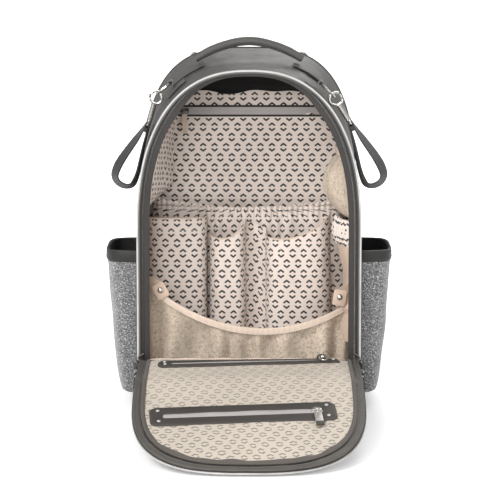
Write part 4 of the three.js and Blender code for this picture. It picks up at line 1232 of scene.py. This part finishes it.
def flap():
    def lined(x, s):
        wave = 0.9 * np.array([noise.noise(Vector((a / 38, b / 38, 3.1)))
                               for a, b in zip(x.ravel(), s.ravel())])
        return flap_height(x, s) - 0.6 + wave.reshape(x.shape)
    grid, flat = flap_fill(11.5, 17.0, lined)
    ob = flap_piece("flap_lining_cloth", cloth(grid, 1.0), FLAP_CLOTH, uv=twice(flat))
    # the outer edge: strip of leather on top, rolled over the side and under the flap
    profile = [(7.2, 9.5, -0.3), (5.5, 7.5, 0.1), (3.4, 5.0, 0.3), (1.4, 2.2, 0.2), (0.2, 0.4, -0.3)]
    rows = [flap_ring(a, b, c)[0] for a, b, c in profile]
    top = flap_ring(0.0, 0.0, 0.0)[0]
    foot = flap_ring(0.0, 0.0, 0.0, low=-5.4)[0]
    rows += [top + (foot - top) * k for k in (0.12, 0.4, 0.7, 0.92)]
    rows += [flap_ring(1.5, 1.5, 0, low=-6.0)[0], flap_ring(6, 6, 0, low=-6.2)[0]]
    edge = np.array(rows)
    edge = edge + normals(edge) * (0.45 * rough_field(edge, 15, 71))[..., None]
    flap_piece("flap_edge_leather", cloth(edge, 1.3), FLAP_LEATHER)
    ring = flap_ring(4.6, 6.4, 1.0)[0]
    up = np.tile([0, -0.1, 1.0], (len(ring), 1))
    flap_piece("flap_edge_stitches", strew(ring, STITCH, 3.6, up), THREAD, "leather")
    bed = np.array([flap_ring(a, b, -0.5)[0] for a, b in ((6.8, 9.0), (8.2, 11.5), (9.6, 13.5))])
    flap_piece("flap_zip_bed", cloth(bed, 0.6), BLACK_CLOTH, slot="zip_tape", uv=twice(arc_uv(bed)))
    line = flap_ring(8.1, 11.2, 0.2, n=760)[0]
    t = unit(np.gradient(line, axis=0))
    teeth = join(*[place(tooth(1, 0.7, 0.8), p, q, (0, -0.12, 1)) for p, q in zip(line, t)])
    flap_piece("flap_zip_teeth", teeth, GUNMETAL, slot="zip_tape")
    rows = []
    for k in np.linspace(0, 1, 7):
        line = flap_outline(9.2 + 4.6 * k, 12.8 + 10.0 * k)
        s = lengths(line)
        tip = smooth((line[:, 1] - 250) / 60)
        sway = tip * k * (1.6 * np.sin(s / 11.0) + 0.8 * np.sin(s / 4.7 + 1))
        h = flap_height(line[:, 0], line[:, 1]) + 0.5 + 1.1 * sin(pi * k) + 0.5 * k * np.sin(s / 6.3) * tip
        rows.append(flap_at(line[:, 0], line[:, 1] + sway, h))
    tape = np.array(rows)
    flap_piece("flap_zip_tape", cloth(tape, 1.0), TAPE_WARM, uv=twice(arc_uv(tape)))
    pipe = flap_ring(-0.4, -0.4, 0, low=-4.2)[0]
    flap_piece("flap_piping", tube(pipe, 1.3, 10, up=(0, 0, 1)), PIPING)
    # painted shadow: a near-black tube of rim leather lies in the gap just above the piping, standing in for
    # the shadow between the flap's edge and its piping
    gap = flap_ring(-0.4, -0.4, 0, low=-1.4)[0]
    flap_piece("flap_piping_shadow_line", tube(gap, 1.0, 8, up=(0, 0, 1)), RIM_LEATHER)
    under, flat = flap_fill(0.8, 0.8, lambda x, s: np.full(x.shape, -6.0))
    flap_piece("flap_cover", cloth(under, 1.6), LEATHER, uv=twice(flat),
               hides=("flap_lower_panel", "flap_upper_panel"))
    hinge_strip()
    front_pocket()


def hinge_strip():
    """Leather that joins the front wall to the flap, with a cream hem on the lining's edge."""
    profile = [(3.0, 58.0), (1.6, 61.5), (0.2, 64.0), (-1.6, 65.2), (-4.0, 65.6), (-7.0, 66.4), (-10.0, 67.6)]
    us = np.linspace(-1, 1, 90)
    grid = np.array([[[u * 134, y + 0.4, z] for u in us] for y, z in profile])
    grid[..., 2] += 0.5 * rough_field(grid, 16, 81)
    ob = piece("flap_hinge_leather", cloth(grid, 1.4), LEATHER_DARK, None)
    tuple(metres([0, 1.5, 61]))
    tuple(metres([0, -9, 67]))
    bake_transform(ob)
    xs = np.linspace(-126, 126, 120)
    hem = flap_at(xs, np.full(120, 4.6), flap_height(xs, np.full(120, 13.0)) * 0.62)
    hem[:, 2] += 0.4 * np.sin(xs / 7.0)
    piece("flap_hinge_hem", tube(hem, 1.5, 8, up=(0, 0, 1)), ELASTIC, "flap_lower",
          uv=np.repeat(xs, 8)[:, None] * [1, 0.0])
    face = np.array([flap_at(xs, np.full(120, 3.6), h) for h in
                     (np.full(120, -3.0), np.full(120, 1.0), flap_height(xs, np.full(120, 13.0)) * 0.6)])
    sewn("flap_hinge_face", face, 1.0, BEIGE, body="flap_lower")
    for name, side in SIDES:
        rows = []
        for k in np.linspace(0, 1, 10):
            y = 3.5 - 9 * k
            rows.append([[side * (133 + 8.5 * sin(pi * w) * (0.4 + 0.6 * k) + 1.5 * w), y,
                          61 + 12.5 * w + 2 * k]
                         for w in np.linspace(0, 1, 9)])
        g = np.array(rows)
        ob = piece(f"hinge_corner_{name}", cloth(g, 1.2), LEATHER, None)
        tuple(metres([0, 2.0, 62]))
        tuple(metres([0, -6, 66]))
        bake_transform(ob)


def front_pocket():
    """The bag's outer front pocket, under the opened flap: a puffed pouch with a zip round it."""
    rows = []
    for z, grow in ((59.4, 0), (57, 1.2), (50, 1.6), (38, 1.2), (26, 0.6), (14, -0.6), (7, -3), (3, -7),
                    (1.1, -11),
                    (0.6, -15)):
        ring = rounded(236 + 2 * min(grow, 1.0), 110 + 2 * min(grow, 0.8), 16, 10) if grow >= 0 else \
            rounded(236 + 2 * grow, 110 + 2 * grow, max(16 + grow * 0.4, 6), 10)
        rows.append(np.column_stack([ring[:, 0], -2 - 67 + ring[:, 1], np.full(len(ring), z)]))
    g = np.array(rows)
    g[2:6] += rough_field(g[2:6], 30, 91)[..., None] * [0.8, 0.8, 0]
    n = g.shape[1]
    faces = grid_faces(len(g), n, closed=True) + [[(len(g) - 1) * n + j for j in range(n)],
                                                  list(range(n))[::-1]]
    piece("front_pocket_pouch", (g.reshape(-1, 3), faces), LEATHER, "flap_lower", hides="front_pocket")
    ring = rounded(236 + 2.6, 110 + 2.2, 17, 10)
    for name, z in (("high", 46.0), ("low", 38.0)):
        path = np.column_stack([ring[:, 0], -69 + ring[:, 1], np.full(len(ring), z)])
        piece(f"front_pocket_welt_{name}", tube(path, 1.3, 8, up=(0, 0, 1), closed=True), LEATHER_DARK,
              "flap_lower")
    ring = rounded(236 + 2.8, 110 + 2.4, 17, 10)
    path = np.column_stack([ring[:, 0], -69 + ring[:, 1], np.full(len(ring), 42.0)])
    path = np.vstack([path, path[:1]])
    out = np.column_stack([path[:, 0], (path[:, 1] + 69) * 2, 0 * path[:, 0]])
    piece("front_pocket_teeth", strew(path, tooth(1, 1.1, 0.6), 1.7, out), GUNMETAL, "flap_lower",
          slot="zip_tape")


# ---- the two zipped plates on the inner face of the flap ----
def zip_plate(name, x0, s0, turn, width, height, slot_w, slot_h, body, rivets, wavy):
    ca, sa = cos(turn), sin(turn)

    def on_flap(p, lift):
        p = np.asarray(p, float)
        x = x0 + p[..., 0] * ca - p[..., 1] * sa
        s = s0 - (p[..., 0] * sa + p[..., 1] * ca)
        return flap_at(x, s, flap_height(x, s) + lift)

    outer = rounded(width, height, min(9.0, height * 0.32), 12)
    inner = rounded(slot_w, slot_h, slot_h * 0.42, 12)
    outer, inner = np.vstack([outer, outer[:1]]), np.vstack([inner, inner[:1]])
    rows = [on_flap(outer + (inner - outer) * k, lift) for k, lift in
            ((0, 0.6), (0.06, 1.5), (0.2, 1.9), (0.8, 1.9), (0.94, 1.6), (1.0, 0.7))]
    grid = np.array(rows)
    piece(f"zip_plate_{name}_leather", cloth(grid, 1.2), PLATE_LEATHER, body,
          hides=f"flap_zip_plate_{name}")
    stitch = on_flap(outer + (inner - outer) * 0.22, 2.6)
    stitches(f"zip_plate_{name}_stitches", stitch, 3.2, (0, -0.1, 1), THREAD_DARK, body=body,
             slot="leather_dark")
    us = np.linspace(-slot_w / 2 + 1, slot_w / 2 - 1, 110)
    tape = np.array([on_flap(np.column_stack([us, np.full(110, slot_h * w)
                                              + wavy * np.sin(us / 9) * (w + 0.5)]),
                             0.8 + 0.5 * cos(pi * w)) for w in np.linspace(-0.52, 0.5, 7)])
    sewn(f"zip_plate_{name}_tape", tape, 0.6, TAPE_PALE, body=body)
    mid = on_flap(np.column_stack([us, 0 * us + wavy * 0.3 * np.sin(us / 9)]), 1.5)
    piece(f"zip_plate_{name}_teeth", strew(mid, tooth(0.9, 0.6, 0.6), 1.6, (0, -0.1, 1)),
          TAPE_PALE, body)
    n = normals(grid)[2, 0]
    up = n if n[2] > 0 else -n
    domes = [place(RIVET, on_flap(r, 2.5), (1, 0, 0), up, 0.95) for r in rivets]
    piece(f"zip_plate_{name}_rivets", join(*domes), SILVER, body)
    along = unit(on_flap((10.0, 0), 0) - on_flap((-10.0, 0), 0))
    across = unit(on_flap((0, 5.0), 0) - on_flap((0, -5.0), 0))
    return along, across, np.cross(along, across)


def flap_zips():
    near = zip_plate("near", 0, 56, radians(6), 229, 26, 196, 6.5, "flap_lower",
                     [(-106, 4.5), (-106, -4.5), (107, 0)], 0.0)
    far = zip_plate("far", -7, 227, radians(4.5), 222, 48, 192, 11.0, "flap_upper",
                    [(-101, 14), (-101, -14), (101, 14), (101, -14)], 0.5)
    for name, (along, _, up) in (("near", near), ("far", far)):
        c, _ = middle(f"flap_zip_slider_{name}")
        s = place(slider_shape(12.5, 8.2, 4.2), c - up * 1.6, along, up)
        mat = GUNMETAL if name == "near" else NICKEL
        piece(f"zip_slider_{name}_body", s, mat, f"{name}_slider", hides=f"flap_zip_slider_{name}")
        p, _ = middle(f"flap_zip_pull_{name}")
        low = unit(p - c - up * np.dot(p - c, up))
        link = place(ring_shape(4.6, 3.0, 0.8), c + low * 5.5 + up * 2.2, low, up)
        long = 22.0 if name == "near" else 34.0
        start = 5.5 if name == "near" else 8.0
        if name == "near":
            tab = place(ring_shape(9.0, 5.0, 1.0), c + low * (start + 9.5) + up * 2.0, low, up)
            piece("zip_pull_near_ring", join(link, tab), NICKEL, "near_pull", hides="flap_zip_pull_near")
            continue
        blade = place(slab(rounded(long, 9.2, 1.6), -0.8, 0.8, 0.35),
                      c + low * (start + long / 2) + up * 2.0, low, up)
        frame_line = place(ring_shape(long / 2 - 1.6, 3.2, 0.45), c + low * (start + long / 2) + up * 2.85,
                           low, up)
        piece("zip_pull_far_blade", join(link, blade, frame_line), SILVER, "far_pull",
              hides="flap_zip_pull_far")
        cap = place(slab(rounded(8.0, 10.0, 1.4), -1.4, 1.4, 0.5),
                    c + low * (start + long - 2.5) + up * 2.0, low, up)
        piece("zip_pull_far_cap", cap, PLATE_LEATHER, "far_pull")


def kept_nodes():
    for name in ("foot_front_left", "foot_front_right", "foot_back_left", "foot_back_right"):
        repaint(name, RUBBER)
    repaint("base_board", BOARD)


# ---- camera, light and floor ----
def studio():
    scene = bpy.context.scene
    cam = bpy.data.cameras.new("camera")
    cam.lens = 171.3
    cam.sensor_width = 36
    cam.shift_x = 0.002
    cam.clip_end = 200
    ob = bpy.data.objects.new("camera", cam)
    ob.location = (0, -2.933, 0.6374)
    ob.rotation_euler = (radians(90 - 8.136), 0, 0)
    scene.collection.objects.link(ob)
    scene.camera = ob
    world = bpy.data.worlds.new("studio")
    scene.world = world
    world.use_nodes = True
    world.node_tree.nodes["Background"].inputs[0].default_value = (1, 1, 1, 1)
    world.node_tree.nodes["Background"].inputs[1].default_value = 0.5
    lights = (("key", (-1.9, -2.4, 2.6), 1.6, 98), ("fill", (2.4, -1.8, 1.5), 2.2, 22),
              ("back", (0.6, 2.2, 2.2), 1.6, 44), ("front", (-0.5, -3.2, 1.1), 1.0, 46))
    for name, at, size, power in lights:
        light = bpy.data.lights.new(name, "AREA")
        light.size = size
        light.energy = power
        lamp = bpy.data.objects.new(name, light)
        lamp.location = at
        aim = Vector((0, 0, 0.22)) - Vector(at)
        lamp.rotation_euler = aim.to_track_quat("-Z", "Y").to_euler()
        scene.collection.objects.link(lamp)
    me = bpy.data.meshes.new("floor")
    me.from_pydata([(-60, -60, 0), (60, -60, 0), (60, 60, 0), (-60, 60, 0)], [], [(0, 1, 2, 3)])
    floor = bpy.data.objects.new("floor", me)
    scene.collection.objects.link(floor)
    s = Surface("floor_white", 0.35, Specular_IOR_Level=0.3)
    c = s.ramp(s.noise(0.8, 3), (0.3, 0.95), (0.7, 0.97))
    s.shader.inputs["Emission Color"].default_value = (1, 1, 1, 1)
    # painted light: the floor glows, faintly near the bag and strongly far from it, so the far floor reads
    # white
    away = s.node("VectorMath", out="Value", ins={0: s.place}, operation="LENGTH")
    glow = s.node("MapRange", ins={0: away, 1: 0.5, 2: 2.2, 3: 0.3, 4: 1.0})
    me.materials.append(s.finish(c, **{"Emission Strength": glow}))
    scene.view_settings.view_transform = "Standard"


studio()
outer_shell()
opening_edge()
front_wall()
back_panel()
linings()
side_pockets()
inside_pockets()
wall_pockets()
back_zip()
main_sliders()
handle()
clips()
shoulder_straps()
flap()
flap_zips()
kept_nodes()
